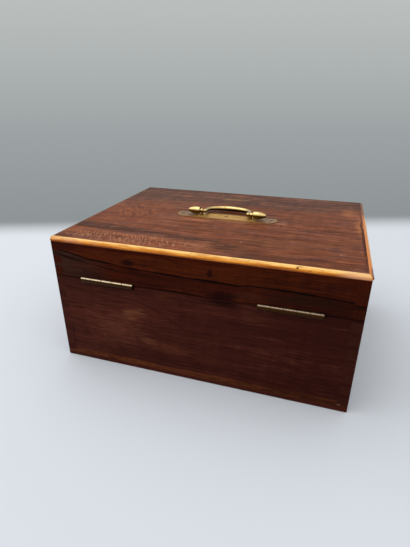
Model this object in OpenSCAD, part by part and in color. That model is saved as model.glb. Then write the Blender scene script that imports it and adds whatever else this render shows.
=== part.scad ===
// Wooden travel case: a dovetailed hardwood box with a hinged lid, boxwood edging, brass butt hinges,
// a cut-in box lock and a brass bail handle on a back plate.
// X runs left to right, -Y is the front, +Y the hinge side, and the table is Z = 0.

/* [Case] */
// Width of the case, left to right
case_w = 305; // [270:1:400]
// Depth of the case, front to back
case_d = 235; // [180:1:320]
// Height of the lower part, from the table to the seam
body_h = 100; // [70:1:160]
// Height of the lid, from the seam to its top face
lid_h = 43; // [30:1:70]
// Thickness of the front, back and side boards
wall = 10; // [9.5:0.5:14]
// Thickness of the bottom board
bottom_t = 5; // [4:0.5:8]
// Thickness of the lid's top board
top_t = 5; // [5:0.5:8]
// Radius on the four upright corners
corner_r = 1.5; // [0.3:0.1:2]
// Chamfer on the outer edges of the seam and of the base
arris = 0.7; // [0.2:0.1:0.8]

/* [Dovetails] */
// Distance from one tail to the next, before it is evened out over the board
tail_pitch = 13.6; // [11:0.1:20]
// Width of a pin where it is narrowest
pin_w = 4.5; // [3:0.25:6]
// Slope of a tail's sides, as a run of this many to one
tail_slope = 7; // [6:1:9]

/* [Edging] */
// Radius of the quarter-round boxwood edging
edging_r = 4; // [3:0.25:4.5]
// How far the edging stands out from the boards
edging_proud = 1; // [0:0.1:1.2]

/* [Hinges] */
// Length of each butt hinge
hinge_len = 58; // [40:1:76]
// Distance from the case's side to the near end of a hinge
hinge_inset = 32.5; // [15:0.5:45]
// Diameter of the hinge barrel
barrel_d = 5.6; // [4.4:0.1:6.4]
// Distance of the barrel's axis behind the back face
barrel_out = 1; // [1:0.1:2]
// Diameter of the hinge pin
hinge_pin_d = 2.4; // [1.6:0.1:2.8]
// Number of knuckles on a hinge, an odd number
knuckles = 5; // [3:2:7]
// Width of a leaf, from the barrel's axis to its inner edge
leaf_w = 8.5; // [8.5:0.25:10]
// Thickness of a leaf
leaf_t = 1.6; // [1.2:0.1:2]
// Number of screws in each leaf
leaf_screws = 3; // [2:1:4]
// Distance from the end of a leaf to its first screw
leaf_screw_inset = 7; // [4:0.5:10]

/* [Lock] */
// Length of the lock's selvedge and of the strike plate
selvedge_l = 62; // [56:1:80]
// Thickness of the selvedge and of the strike plate
selvedge_t = 1.6; // [1.2:0.1:2]
// Depth of the lock, from the inner face of the front board
lock_depth = 8; // [7:0.25:8.5]
// Width of the lock's box
lock_w = 42; // [41:0.5:48]
// Height of the lock's box below the selvedge
lock_h = 27; // [24:0.5:34]
// Thickness of the lock box's walls
lock_wall = 1; // [0.8:0.1:1.5]
// Width of the lock's back plate
lock_plate_w = 52; // [50:0.5:60]
// Height of the lock's back plate below the selvedge
lock_plate_h = 29; // [24:0.5:36]
// Thickness of the lock's back plate
lock_plate_t = 1.2; // [0.8:0.1:1.6]
// Depth of the keyhole's centre below the seam
key_drop = 17; // [15:0.5:20]
// Diameter of the keyhole's round part
keyhole_d = 4.6; // [4:0.1:6]
// Width of the keyhole's slot
keyhole_slot_w = 2.2; // [1.6:0.1:3]
// Length of the keyhole from its centre down
keyhole_l = 7; // [5:0.25:9]
// Width of the brass rim around the keyhole
rim_w = 1.2; // [0.8:0.1:2]
// Diameter of the drill pin that the key turns on
drill_pin_d = 2; // [1.6:0.1:2.4]
// Height of the sliding bolt
bolt_h = 6.8; // [6:0.1:8]
// Length of each of the bolt's two prongs
prong_l = 4.2; // [3.6:0.1:4.6]
// Distance of each staple from the middle of the lock
staple_x = 8; // [7.5:0.1:8.5]
// Thickness of a staple
staple_t = 2.4; // [2:0.1:2.8]
// Width of a staple, front to back
staple_w = 4.8; // [4.2:0.1:5]

/* [Handle] */
// Length of the handle's back plate
plate_l = 118; // [112:1:150]
// Width of the back plate
plate_w = 22; // [18:1:30]
// Thickness of the back plate
plate_t = 0.8; // [0.6:0.1:1]
// Distance from the end of the back plate to its end screw
plate_screw_inset = 7; // [5:0.5:10]
// Height of the bail's pivot above the lid
pivot_h = 5.4; // [5.2:0.1:7]
// Distance of each post from the middle of the handle
post_x = 29.2; // [27:0.1:36]
// Diameter of a post's eye
eye_d = 5; // [4.6:0.1:6.4]
// Width of a post's eye along the pivot
eye_w = 2.6; // [2.4:0.1:5]
// Diameter of a post's threaded shank
shank_d = 4; // [3:0.1:4.4]
// Diameter of the bail's journals
journal_d = 2.6; // [2.2:0.1:3.2]
// Distance from the pivot to the middle of the grip
bail_reach = 25.5; // [22:0.5:34]
// Radius of the grip's flat arch
crown_r = 41; // [36:1:70]
// Radius of the bail's shoulders
shoulder_r = 13.5; // [6:0.5:16]
// Thickness of the bail in the middle of the grip
grip_d = 5.6; // [4:0.1:6.2]
// Thickness of the bail at its legs
leg_d = 4; // [3:0.1:4.4]
// Diameter of the balls at the ends of the legs
elbow_d = 4.4; // [4.4:0.1:6.8]
// Length of an acorn finial
finial_l = 15.5; // [12:0.5:18]
// Largest diameter of an acorn finial
finial_d = 8.4; // [6:0.1:8.6]
// Diameter of the rounded tip of an acorn finial
finial_tip_d = 4.8; // [3:0.1:5.4]
// Thickness of the washers under the lid's top board
washer_t = 0.8; // [0.6:0.1:1.2]
// Thickness of the nuts on the posts
nut_t = 2.4; // [2:0.1:3.2]
// Width of the nuts across their flats
nut_w = 7; // [6.6:0.1:8]

/* [Screws] */
// Number of screws along each long edge of the bottom board
long_screws = 4; // [2:1:6]
// Number of screws along each short edge of the bottom board
short_screws = 2; // [1:1:4]
// Shank diameter of the bottom board's screws
base_screw_d = 3; // [2.4:0.1:3.6]
// Length of the bottom board's screws
base_screw_l = 18; // [12:1:25]
// Shank diameter of the brass screws in hinges and lock
brass_screw_d = 2.2; // [1.8:0.1:2.4]
// Length of the brass screws in hinges and lock
brass_screw_l = 10; // [7:0.5:14]

/* [Hidden] */
$fn = 48;

rosewood = "#5a2418";
boxwood = "#e0b060";
brass = "#c8a050";
old_brass = "#8a7448";
steel = "#8c8c90";

// Clearances: a running fit, a gap that only has to stay open, and a bit that a cut runs past a face
run_gap = 0.06;
free_gap = 0.3;
past = 1;

half_w = case_w / 2;
half_d = case_d / 2;
seam_z = body_h;
top_z = body_h + lid_h;

// Hinges: their middle in X and the axis of their barrels
hinge_x = half_w - hinge_inset - hinge_len / 2;
hinge_y = half_d + barrel_out;
knuckle_gap = 0.15;
knuckle_l = (hinge_len - (knuckles - 1) * knuckle_gap) / knuckles;
knuckle_room = 0.2;
knuckle_clear = barrel_d / 2 + knuckle_room;
pin_dome = 0.4;
leaf_screw_y = hinge_y - (leaf_w + knuckle_clear) / 2;
leaf_screw_step = (hinge_len - 2 * leaf_screw_inset) / (leaf_screws - 1);

// Screws: a head is a right-angled cone, and its slot a share of it
head_ratio = 1.9;
slot_w = 0.6;
slot_deep = 0.5;
tip_share = 0.25;

// Lock: planes of its box in the front board, which the selvedge covers
lock_in = -half_d + wall;
lock_out = lock_in - lock_depth;
selvedge_z = seam_z - selvedge_t;
room_in = lock_in - lock_plate_t;
room_out = lock_out + lock_wall;
room_y = (room_in + room_out) / 2;
room_d = room_in - room_out;
key_z = seam_z - key_drop;
slide_gap = 0.1;
bolt_top = selvedge_z - slide_gap;
bolt_low = bolt_top - bolt_h;
bolt_web = 1.7;
prong_gap = 0.6;
prong_end = 0.4;
prong_h = 2;
prong_w = 2.2;
eye_gap = 0.3;
block_l = 5;
staple_lift = 0.4;
staple_low = bolt_low + bolt_web + staple_lift;
staple_bar = 1.2;
eye_low = staple_low + staple_bar;
bolt_throw = prong_l + prong_gap - prong_end;
ledge_t = 1.2;
talon_l = 2;
talon_h = 2.4;
talon_x = 2.4;
web_end = 2;
selvedge_screw_inset = 5;
selvedge_screw_x = selvedge_l / 2 - selvedge_screw_inset;
plate_nail_x = (lock_w + lock_plate_w) / 4;
plate_nail_l = wall - lock_wall - past;
drill_pin_back = 1.2;

// Handle: pivot, stations along it, and the turn that lays the grip just above the lid
pivot_z = top_z + pivot_h;
axial_gap = 0.2;
leg_x = post_x - eye_w / 2 - axial_gap - elbow_d / 2;
finial_x = post_x + eye_w / 2 + axial_gap;
rest_drop = asin((pivot_h - grip_d / 2 - free_gap) / bail_reach);
plate_screw_x = plate_l / 2 - plate_screw_inset;
collar_h = 0.9;
plate_screw_d = 2;
plate_screw_short = 0.8;
plate_screw_l = plate_t + top_t - plate_screw_short;
washer_rim = 1;
nut_low = top_z - top_t - washer_t - nut_t;
shank_out = 0.8;
finial_neck_d = 4.2;
finial_neck_l = 1;
collar_d = eye_w + 2 * (axial_gap + finial_neck_l - free_gap);
finial_cup_l = 4;
journal_in = 4.5;

// Shapes used more than once

// A slotted wood screw that points down, with its head's face at the origin
module screw(d, l) {
    difference() {
        screw_hole(d, l);
        cube([head_ratio * d + past, slot_w, 2 * slot_deep], center = true);
    }
}

// The space that such a screw fills
module screw_hole(d, l) {
    head_h = d * (head_ratio - 1) / 2;
    tip_l = tip_share * l;
    rotate_extrude()
        polygon([
            [0, 0], [head_ratio * d / 2, 0], [d / 2, -head_h],
            [d / 2, tip_l - l], [0, -l]
        ]);
}

// Places its children at each bottom board screw, upside down
module at_base_screws() {
    long_step = (case_w - 2 * wall) / long_screws;
    short_step = (case_d - 2 * wall) / short_screws;
    for (side = [-1, 1]) {
        for (i = [0 : long_screws - 1])
            translate([(i + 0.5) * long_step - half_w + wall, side * (half_d - wall / 2), 0])
                mirror([0, 0, 1]) children();
        for (i = [0 : short_screws - 1])
            translate([side * (half_w - wall / 2), (i + 0.5) * short_step - half_d + wall, 0])
                mirror([0, 0, 1]) children();
    }
}

// Places its children at each screw of both hinges, at the seam, heads up or down
module at_hinge_screws(up) {
    for (side = [-1, 1])
        for (i = [0 : leaf_screws - 1])
            translate([
                side * hinge_x - hinge_len / 2 + leaf_screw_inset + i * leaf_screw_step,
                leaf_screw_y, seam_z
            ])
                mirror([0, 0, up ? 1 : 0]) children();
}

// The upright block that the whole case is trimmed to, with its corners eased
module case_block(low, high) {
    translate([0, 0, low])
        linear_extrude(high - low) {
            square([case_w - 2 * corner_r, case_d], center = true);
            square([case_w, case_d - 2 * corner_r], center = true);
            for (sx = [-1, 1], sy = [-1, 1])
                translate([sx * (half_w - corner_r), sy * (half_d - corner_r)])
                    circle(r = corner_r);
        }
}

// Chamfers along the four outer edges at one height
module arris_cut(z) {
    side = arris * sqrt(2);
    for (s = [-1, 1]) {
        translate([0, s * half_d, z])
            rotate([45, 0, 0]) cube([case_w + 2 * past, side, side], center = true);
        translate([s * half_w, 0, z])
            rotate([0, 45, 0]) cube([side, case_d + 2 * past, side], center = true);
    }
}

// The tails of one side board at one of its ends, for boards from one height to another
module tails(sx, sy, low, high) {
    count = max(1, round((high - low) / tail_pitch));
    pitch = (high - low) / count;
    end_w = (pitch - pin_w) / 2;
    root_w = end_w - wall / tail_slope;
    for (i = [0 : count - 1])
        translate([sx * (half_w - wall / 2), 0, low + (i + 0.5) * pitch])
            mirror([0, sy > 0 ? 0 : 1, 0])
                rotate([90, 0, 90])
                    linear_extrude(wall, center = true)
                        polygon([
                            [half_d - wall - past, -root_w], [half_d - wall, -root_w],
                            [half_d, -end_w], [half_d, end_w],
                            [half_d - wall, root_w], [half_d - wall - past, root_w]
                        ]);
}

// A left or right board, which has the tails
module side_board(sx, low, high) {
    intersection() {
        union() {
            translate([sx * (half_w - wall / 2), 0, (low + high) / 2])
                cube([wall, case_d - 2 * wall, high - low], center = true);
            tails(sx, -1, low, high);
            tails(sx, 1, low, high);
        }
        case_block(low, high);
    }
}

// A front or back board, which has the pins
module long_board(sy, low, high) {
    difference() {
        intersection() {
            translate([0, sy * (half_d - wall / 2), (low + high) / 2])
                cube([case_w, wall, high - low], center = true);
            case_block(low, high);
        }
        tails(-1, sy, low, high);
        tails(1, sy, low, high);
    }
}

// A bar of the hinge barrel's kind along its axis, from one X to another
module along_barrel(from_x, to_x, r) {
    translate([from_x, hinge_y, seam_z])
        rotate([0, 90, 0]) cylinder(r = r, h = to_x - from_x);
}

// Start of a knuckle, counted from the hinge's left end
function knuckle_x(side, i) = side * hinge_x - hinge_len / 2 + i * (knuckle_l + knuckle_gap);

// What a hinge takes out of a board: its leaf's bed, and room for the barrel
module hinge_bed(side, up) {
    ends = pin_dome + knuckle_room;
    translate([
        side * hinge_x - hinge_len / 2, hinge_y - leaf_w, up ? seam_z - past : seam_z - leaf_t
    ])
        cube([hinge_len, leaf_w, leaf_t + past]);
    along_barrel(
        side * hinge_x - hinge_len / 2 - ends, side * hinge_x + hinge_len / 2 + ends,
        barrel_d / 2 + free_gap
    );
}

// One leaf of a hinge with its own knuckles, the even ones or the odd ones
module hinge_leaf(side, up) {
    own = up ? 1 : 0;
    difference() {
        union() {
            difference() {
                translate([
                    side * hinge_x - hinge_len / 2, hinge_y - leaf_w,
                    up ? seam_z : seam_z - leaf_t
                ])
                    cube([hinge_len, leaf_w, leaf_t]);
                for (i = [1 - own : 2 : knuckles - 1])
                    along_barrel(
                        knuckle_x(side, i) - knuckle_gap,
                        knuckle_x(side, i) + knuckle_l + knuckle_gap, knuckle_clear
                    );
            }
            for (i = [own : 2 : knuckles - 1])
                along_barrel(knuckle_x(side, i), knuckle_x(side, i) + knuckle_l, barrel_d / 2);
        }
        along_barrel(
            side * hinge_x - hinge_len / 2 - past, side * hinge_x + hinge_len / 2 + past,
            hinge_pin_d / 2 + (up ? run_gap : 0)
        );
        at_hinge_screws(up) screw_hole(brass_screw_d, brass_screw_l);
    }
}

// A hinge pin with a low dome on each end
module hinge_pin(side) {
    pin_r = hinge_pin_d / 2;
    dome_r = (pin_r * pin_r + pin_dome * pin_dome) / (2 * pin_dome);
    translate([side * hinge_x, hinge_y, seam_z])
        rotate([0, 90, 0]) {
            cylinder(r = pin_r, h = hinge_len, center = true);
            for (s = [0, 1])
                mirror([0, 0, s])
                    translate([0, 0, hinge_len / 2])
                        rotate_extrude()
                            intersection() {
                                translate([0, pin_dome - dome_r]) circle(r = dome_r);
                                translate([0, -past]) square([pin_r, pin_dome + past]);
                            }
        }
}

// One length of edging, for the side that faces a given way: a quarter of a round bar with
// round ends, mitred so that two lengths share each rounded corner
module edging(turn, side_l, offset) {
    long = side_l / 2 + edging_proud;
    face = offset + edging_proud;
    bar_l = long - edging_r;
    color(boxwood)
        rotate([0, 0, turn])
            intersection() {
                translate([0, edging_r - face, top_z - edging_r])
                    rotate([0, 90, 0])
                        rotate_extrude()
                            intersection() {
                                union() {
                                    square([2 * edging_r, 2 * bar_l], center = true);
                                    for (s = [-1, 1]) translate([0, s * bar_l]) circle(r = edging_r);
                                }
                                translate([0, -long]) square([edging_r, 2 * long]);
                            }
                translate([0, 0, top_z - edging_r])
                    linear_extrude(edging_r + past)
                        polygon([
                            [-long, -face], [long, -face],
                            [bar_l, edging_r - face], [-bar_l, edging_r - face]
                        ]);
            }
}

// Extrudes a shape drawn in X and Z from one Y to a smaller one
module through_front(from_y, to_y) {
    translate([0, from_y, 0])
        rotate([90, 0, 0]) linear_extrude(from_y - to_y) children();
}

// Outline of the keyhole, made wider all round by a rim
module keyhole_shape(rim) {
    translate([0, key_z]) {
        circle(d = keyhole_d + 2 * rim);
        translate([-keyhole_slot_w / 2 - rim, -keyhole_l + keyhole_slot_w / 2])
            square([keyhole_slot_w + 2 * rim, keyhole_l - keyhole_slot_w / 2]);
        translate([0, -keyhole_l + keyhole_slot_w / 2]) circle(d = keyhole_slot_w + 2 * rim);
    }
}

// A flat plate let into a board's edge at the seam, over the lock
module seam_plate(low) {
    translate([-selvedge_l / 2, lock_out, low]) cube([selvedge_l, lock_depth, selvedge_t]);
}

module at_selvedge_screws(up) {
    for (s = [-1, 1])
        translate([s * selvedge_screw_x, lock_in - lock_depth / 2, seam_z])
            mirror([0, 0, up ? 1 : 0]) children();
}

module at_plate_nails() {
    for (s = [-1, 1])
        translate([s * plate_nail_x, lock_in, selvedge_z - lock_plate_h / 2])
            rotate([-90, 0, 0]) children();
}

// Places its children at each screw of the handle's back plate
module at_plate_screws() {
    for (x = [-plate_screw_x, 0, plate_screw_x])
        translate([x, 0, top_z + plate_t]) children();
}

module at_posts() {
    for (s = [-1, 1]) translate([s * post_x, 0, 0]) children();
}

// A bar along the handle's pivot, from one X to another
module along_pivot(from_x, to_x, r) {
    translate([from_x, 0, pivot_z]) rotate([0, 90, 0]) cylinder(r = r, h = to_x - from_x);
}

// Lower part of the case

module case_back() {
    color(rosewood)
        difference() {
            long_board(1, bottom_t, seam_z);
            arris_cut(seam_z);
            for (side = [-1, 1]) hinge_bed(side, false);
            at_hinge_screws(false) screw_hole(brass_screw_d, brass_screw_l);
            at_base_screws() screw_hole(base_screw_d, base_screw_l);
        }
}

module case_front() {
    color(rosewood)
        difference() {
            long_board(-1, bottom_t, seam_z);
            arris_cut(seam_z);
            lock_mortise();
            through_front(lock_out + past, -half_d - past) keyhole_shape(rim_w);
            at_selvedge_screws(false) screw_hole(brass_screw_d, brass_screw_l);
            at_plate_nails() screw_hole(brass_screw_d, plate_nail_l);
            at_base_screws() screw_hole(base_screw_d, base_screw_l);
        }
}

// The wood cut out for the lock: its selvedge, its back plate and its box
module lock_mortise() {
    translate([-selvedge_l / 2, lock_out, selvedge_z])
        cube([selvedge_l, lock_depth + past, selvedge_t + past]);
    translate([-lock_plate_w / 2, room_in, selvedge_z - lock_plate_h])
        cube([lock_plate_w, lock_plate_t + past, lock_plate_h + past]);
    translate([-lock_w / 2, lock_out, selvedge_z - lock_h])
        cube([lock_w, lock_depth, lock_h + past]);
}

module case_side(sx) {
    color(rosewood)
        difference() {
            side_board(sx, bottom_t, seam_z);
            arris_cut(seam_z);
            at_base_screws() screw_hole(base_screw_d, base_screw_l);
        }
}

module case_left() { case_side(-1); }

module case_right() { case_side(1); }

module case_bottom() {
    color(rosewood)
        difference() {
            case_block(0, bottom_t);
            arris_cut(0);
            at_base_screws() screw_hole(base_screw_d, base_screw_l);
        }
}

module bottom_screws() {
    color(steel) at_base_screws() screw(base_screw_d, base_screw_l);
}

// Hinges

module hinge_leaf_case_left() { color(brass) hinge_leaf(-1, false); }

module hinge_leaf_case_right() { color(brass) hinge_leaf(1, false); }

module hinge_leaf_lid_left() { color(brass) hinge_leaf(-1, true); }

module hinge_leaf_lid_right() { color(brass) hinge_leaf(1, true); }

module hinge_pin_left() { color(old_brass) hinge_pin(-1); }

module hinge_pin_right() { color(old_brass) hinge_pin(1); }

module hinge_screws_case() {
    color(old_brass) at_hinge_screws(false) screw(brass_screw_d, brass_screw_l);
}

module hinge_screws_lid() {
    color(old_brass) at_hinge_screws(true) screw(brass_screw_d, brass_screw_l);
}

// Lock

// The selvedge, with a slot for each staple of the strike plate
module lock_selvedge() {
    color(brass)
        difference() {
            seam_plate(selvedge_z);
            for (s = [-1, 1])
                translate([s * staple_x, room_y, selvedge_z + selvedge_t / 2])
                    cube([
                        staple_t + 2 * prong_end, staple_w + 2 * free_gap,
                        selvedge_t + 2 * past
                    ], center = true);
            at_selvedge_screws(false) screw_hole(brass_screw_d, brass_screw_l);
        }
}

// The box behind the selvedge, open to the back plate, with two ledges that carry the bolt
module lock_case() {
    color(old_brass) {
        difference() {
            translate([-lock_w / 2, lock_out, selvedge_z - lock_h])
                cube([lock_w, lock_depth - lock_plate_t, lock_h]);
            translate([lock_wall - lock_w / 2, room_out, selvedge_z - lock_h + lock_wall])
                cube([lock_w - 2 * lock_wall, lock_depth, lock_h]);
            through_front(lock_out + lock_wall + past, lock_out - past) keyhole_shape(0);
        }
        gap_l = -talon_x - talon_l - free_gap;
        gap_r = talon_x + talon_l + bolt_throw + free_gap;
        for (x = [[-lock_w / 2 + lock_wall / 2, gap_l], [gap_r, lock_w / 2 - lock_wall / 2]])
            translate([x[0], room_out - lock_wall / 2, bolt_low - slide_gap - ledge_t])
                cube([x[1] - x[0], room_d + lock_wall / 2, ledge_t]);
    }
}

module lock_back_plate() {
    color(brass)
        difference() {
            translate([-lock_plate_w / 2, room_in, selvedge_z - lock_plate_h])
                cube([lock_plate_w, lock_plate_t, lock_plate_h]);
            at_plate_nails() screw_hole(brass_screw_d, plate_nail_l);
        }
}

module lock_drill_pin() {
    pin_end = -half_d + drill_pin_back;
    color(steel)
        translate([0, room_in, key_z])
            rotate([90, 0, 0]) cylinder(d = drill_pin_d, h = room_in - pin_end);
}

// The bolt: a web with two blocks, each with a prong, and a pair of talons that the key pushes
module lock_bolt() {
    thick = room_d - 2 * slide_gap;
    web_from = -staple_x - staple_t / 2 - prong_gap - prong_l - block_l;
    web_to = staple_x + staple_t / 2 + web_end;
    color(steel) {
        translate([web_from, room_y - thick / 2, bolt_low])
            cube([web_to - web_from, thick, bolt_web]);
        for (s = [-1, 1]) {
            prong_x = s * staple_x - staple_t / 2 - prong_gap - prong_l;
            translate([prong_x - block_l, room_y - thick / 2, bolt_low])
                cube([block_l, thick, bolt_h]);
            translate([prong_x - past, room_y - prong_w / 2, eye_low + eye_gap])
                cube([prong_l + past, prong_w, prong_h]);
            translate([s * (talon_x + talon_l / 2) - talon_l / 2, room_y - thick / 2, bolt_low - talon_h])
                cube([talon_l, thick, talon_h + bolt_web / 2]);
        }
    }
}

module lock_screws() {
    color(old_brass) {
        at_selvedge_screws(false) screw(brass_screw_d, brass_screw_l);
        at_plate_nails() screw(brass_screw_d, plate_nail_l);
    }
}

module keyhole_escutcheon() {
    color(brass)
        difference() {
            through_front(lock_out, -half_d) keyhole_shape(rim_w);
            through_front(lock_out + past, -half_d - past) keyhole_shape(0);
        }
}

// The strike plate in the lid, with the two staples that drop into the lock
module strike_plate() {
    color(brass)
        difference() {
            union() {
                seam_plate(seam_z);
                for (s = [-1, 1])
                    translate([s * staple_x - staple_t / 2, room_y - staple_w / 2, staple_low])
                        cube([staple_t, staple_w, seam_z - staple_low + selvedge_t / 2]);
            }
            for (s = [-1, 1])
                translate([s * staple_x - staple_t, room_y - prong_w / 2 - eye_gap, eye_low])
                    cube([2 * staple_t, prong_w + 2 * eye_gap, prong_h + 2 * eye_gap]);
            at_selvedge_screws(true) screw_hole(brass_screw_d, brass_screw_l);
        }
}

module strike_screws() {
    color(old_brass) at_selvedge_screws(true) screw(brass_screw_d, brass_screw_l);
}

// Lid

module lid_back() {
    color(rosewood)
        difference() {
            long_board(1, seam_z, top_z - top_t);
            arris_cut(seam_z);
            for (side = [-1, 1]) hinge_bed(side, true);
            at_hinge_screws(true) screw_hole(brass_screw_d, brass_screw_l);
        }
}

module lid_front() {
    color(rosewood)
        difference() {
            long_board(-1, seam_z, top_z - top_t);
            arris_cut(seam_z);
            translate([-selvedge_l / 2, lock_out, seam_z - past])
                cube([selvedge_l, lock_depth + past, selvedge_t + past]);
            at_selvedge_screws(true) screw_hole(brass_screw_d, brass_screw_l);
        }
}

module lid_side(sx) {
    color(rosewood)
        difference() {
            side_board(sx, seam_z, top_z - top_t);
            arris_cut(seam_z);
        }
}

module lid_left() { lid_side(-1); }

module lid_right() { lid_side(1); }

// The top board, with a rebate for the edging and holes for the handle's fixings
module lid_top() {
    inner_w = case_w + 2 * (edging_proud - edging_r);
    inner_d = case_d + 2 * (edging_proud - edging_r);
    color(rosewood)
        difference() {
            case_block(top_z - top_t, top_z);
            translate([0, 0, top_z - edging_r])
                linear_extrude(edging_r + past)
                    difference() {
                        square([case_w + 2 * past, case_d + 2 * past], center = true);
                        square([inner_w, inner_d], center = true);
                    }
            at_posts()
                translate([0, 0, top_z - top_t - past])
                    cylinder(d = shank_d, h = top_t + 2 * past);
            at_plate_screws() screw_hole(plate_screw_d, plate_screw_l);
        }
}

module edging_front() { edging(0, case_w, half_d); }

module edging_right() { edging(90, case_d, half_w); }

module edging_back() { edging(180, case_w, half_d); }

module edging_left() { edging(270, case_d, half_w); }

// Handle

// The round-ended back plate under the posts
module handle_plate() {
    color(old_brass)
        difference() {
            translate([0, 0, top_z])
                linear_extrude(plate_t) {
                    square([plate_l - plate_w, plate_w], center = true);
                    for (s = [-1, 1])
                        translate([s * (plate_l - plate_w) / 2, 0]) circle(d = plate_w);
                }
            at_posts()
                translate([0, 0, top_z - past]) cylinder(d = shank_d, h = plate_t + 2 * past);
            at_plate_screws() screw_hole(plate_screw_d, plate_screw_l);
        }
}

module handle_plate_screws() {
    color(old_brass) at_plate_screws() screw(plate_screw_d, plate_screw_l);
}

// A post: a collar on the plate, a beaded eye for the bail's journal, and a shank through the lid
module handle_post(s) {
    color(brass)
        difference() {
            union() {
                translate([s * post_x, 0, top_z + plate_t]) cylinder(d = collar_d, h = collar_h);
                translate([s * post_x, 0, top_z + plate_t])
                    cylinder(d = min(eye_w, eye_d), h = pivot_h - plate_t);
                translate([s * post_x, 0, pivot_z])
                    rotate([0, 90, 0])
                        rotate_extrude()
                            intersection() {
                                circle(d = eye_d);
                                translate([0, -eye_w / 2]) square([eye_d, eye_w]);
                            }
                translate([s * post_x, 0, nut_low - shank_out])
                    cylinder(d = shank_d, h = top_z + plate_t + collar_h / 2 - nut_low + shank_out);
            }
            along_pivot(s * post_x - collar_d, s * post_x + collar_d, journal_d / 2 + run_gap);
        }
}

module handle_post_left() { handle_post(-1); }

module handle_post_right() { handle_post(1); }

module handle_washers() {
    color(steel)
        at_posts()
            translate([0, 0, nut_low + nut_t])
                difference() {
                    cylinder(d = nut_w + 2 * washer_rim, h = washer_t);
                    translate([0, 0, -past]) cylinder(d = shank_d, h = washer_t + 2 * past);
                }
}

module handle_nuts() {
    color(steel)
        at_posts()
            translate([0, 0, nut_low])
                difference() {
                    cylinder(d = nut_w / cos(30), h = nut_t, $fn = 6);
                    translate([0, 0, -past]) cylinder(d = shank_d, h = nut_t + 2 * past);
                }
}

// Centre line of the bail in its own plane: straight legs, round shoulders and a flat arch.
// A station is [x, distance from the pivot, direction of its outer side].
crown_c = bail_reach - crown_r;
shoulder_x = leg_x - shoulder_r;
shoulder_s = crown_c + sqrt(pow(crown_r - shoulder_r, 2) - pow(shoulder_x, 2));
shoulder_turn = atan2(shoulder_s - crown_c, shoulder_x);
leg_steps = 3;
shoulder_steps = 7;
crown_steps = 9;
half_bail = concat(
    [for (i = [0 : leg_steps - 1]) [leg_x, shoulder_s * i / leg_steps, 0]],
    [for (i = [0 : shoulder_steps - 1])
        let (a = shoulder_turn * i / shoulder_steps)
        [shoulder_x + shoulder_r * cos(a), shoulder_s + shoulder_r * sin(a), a]],
    [for (i = [0 : crown_steps])
        let (a = shoulder_turn + (90 - shoulder_turn) * i / crown_steps)
        [crown_r * cos(a), crown_c + crown_r * sin(a), a]]
);
half_count = len(half_bail);
bail_line = concat(
    half_bail,
    [for (i = [2 : half_count]) let (p = half_bail[half_count - i]) [-p[0], p[1], 180 - p[2]]]
);
bail_count = len(bail_line);
bail_sides = 16;

// Radius of the bail at a station, from its legs to the swell of its grip
function bail_r(i) =
    (leg_d + (grip_d - leg_d) * (1 - cos(360 * i / (bail_count - 1))) / 2) / 2;

// One unbroken tube along the bail's centre line, in the plane Z = 0 with the grip at -Y
module bail_tube() {
    points = [
        for (i = [0 : bail_count - 1], j = [0 : bail_sides - 1])
            let (p = bail_line[i], b = 360 * j / bail_sides, r = bail_r(i))
            [p[0] + r * cos(b) * cos(p[2]), -p[1] - r * cos(b) * sin(p[2]), r * sin(b)]
    ];
    last = (bail_count - 1) * bail_sides;
    faces = concat(
        [[for (j = [0 : bail_sides - 1]) j]],
        [[for (j = [1 : bail_sides]) last + bail_sides - j]],
        [for (i = [0 : bail_count - 2], j = [0 : bail_sides - 1], half = [0, 1])
            let (
                a = i * bail_sides + j,
                b = i * bail_sides + (j + 1) % bail_sides,
                c = a + bail_sides,
                d = b + bail_sides
            )
            half == 0 ? [a, c, b] : [b, c, d]]
    );
    polyhedron(points, faces);
}

// The bail: its tube, the balls at its legs, and a journal on each side
module handle_bail() {
    color(brass) {
        translate([0, 0, pivot_z]) rotate([rest_drop, 0, 0]) bail_tube();
        for (s = [-1, 1]) {
            translate([s * leg_x, 0, pivot_z]) sphere(d = elbow_d);
            along_pivot(
                min(s * leg_x, s * (finial_x + journal_in)),
                max(s * leg_x, s * (finial_x + journal_in)), journal_d / 2
            );
        }
    }
}

// An acorn finial on the outer end of a journal: a neck, and a body whose arched side runs
// smoothly into a rounded tip
module handle_finial(s) {
    tip_r = finial_tip_d / 2;
    tip_z = finial_l - tip_r;
    wide_z = finial_neck_l + finial_cup_l;
    thinner = finial_d / 2 - tip_r;
    below = (pow(tip_z - wide_z, 2) - thinner * thinner) / (2 * thinner);
    meet_z = tip_z + tip_r * (tip_z - wide_z) / (below + thinner);
    color(brass)
        translate([s * finial_x, 0, pivot_z])
            rotate([0, s * 90, 0])
                difference() {
                    union() {
                        cylinder(d = finial_neck_d, h = finial_neck_l + finial_cup_l / 2);
                        rotate_extrude() {
                            intersection() {
                                translate([-below, wide_z]) circle(r = below + finial_d / 2, $fn = 192);
                                translate([0, finial_neck_l])
                                    square([finial_d, meet_z - finial_neck_l]);
                            }
                            intersection() {
                                translate([0, tip_z]) circle(r = tip_r);
                                translate([0, tip_z]) square(finial_tip_d);
                            }
                        }
                    }
                    translate([0, 0, -past]) cylinder(d = journal_d, h = journal_in + past);
                }
}

module handle_finial_left() { handle_finial(-1); }

module handle_finial_right() { handle_finial(1); }

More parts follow.
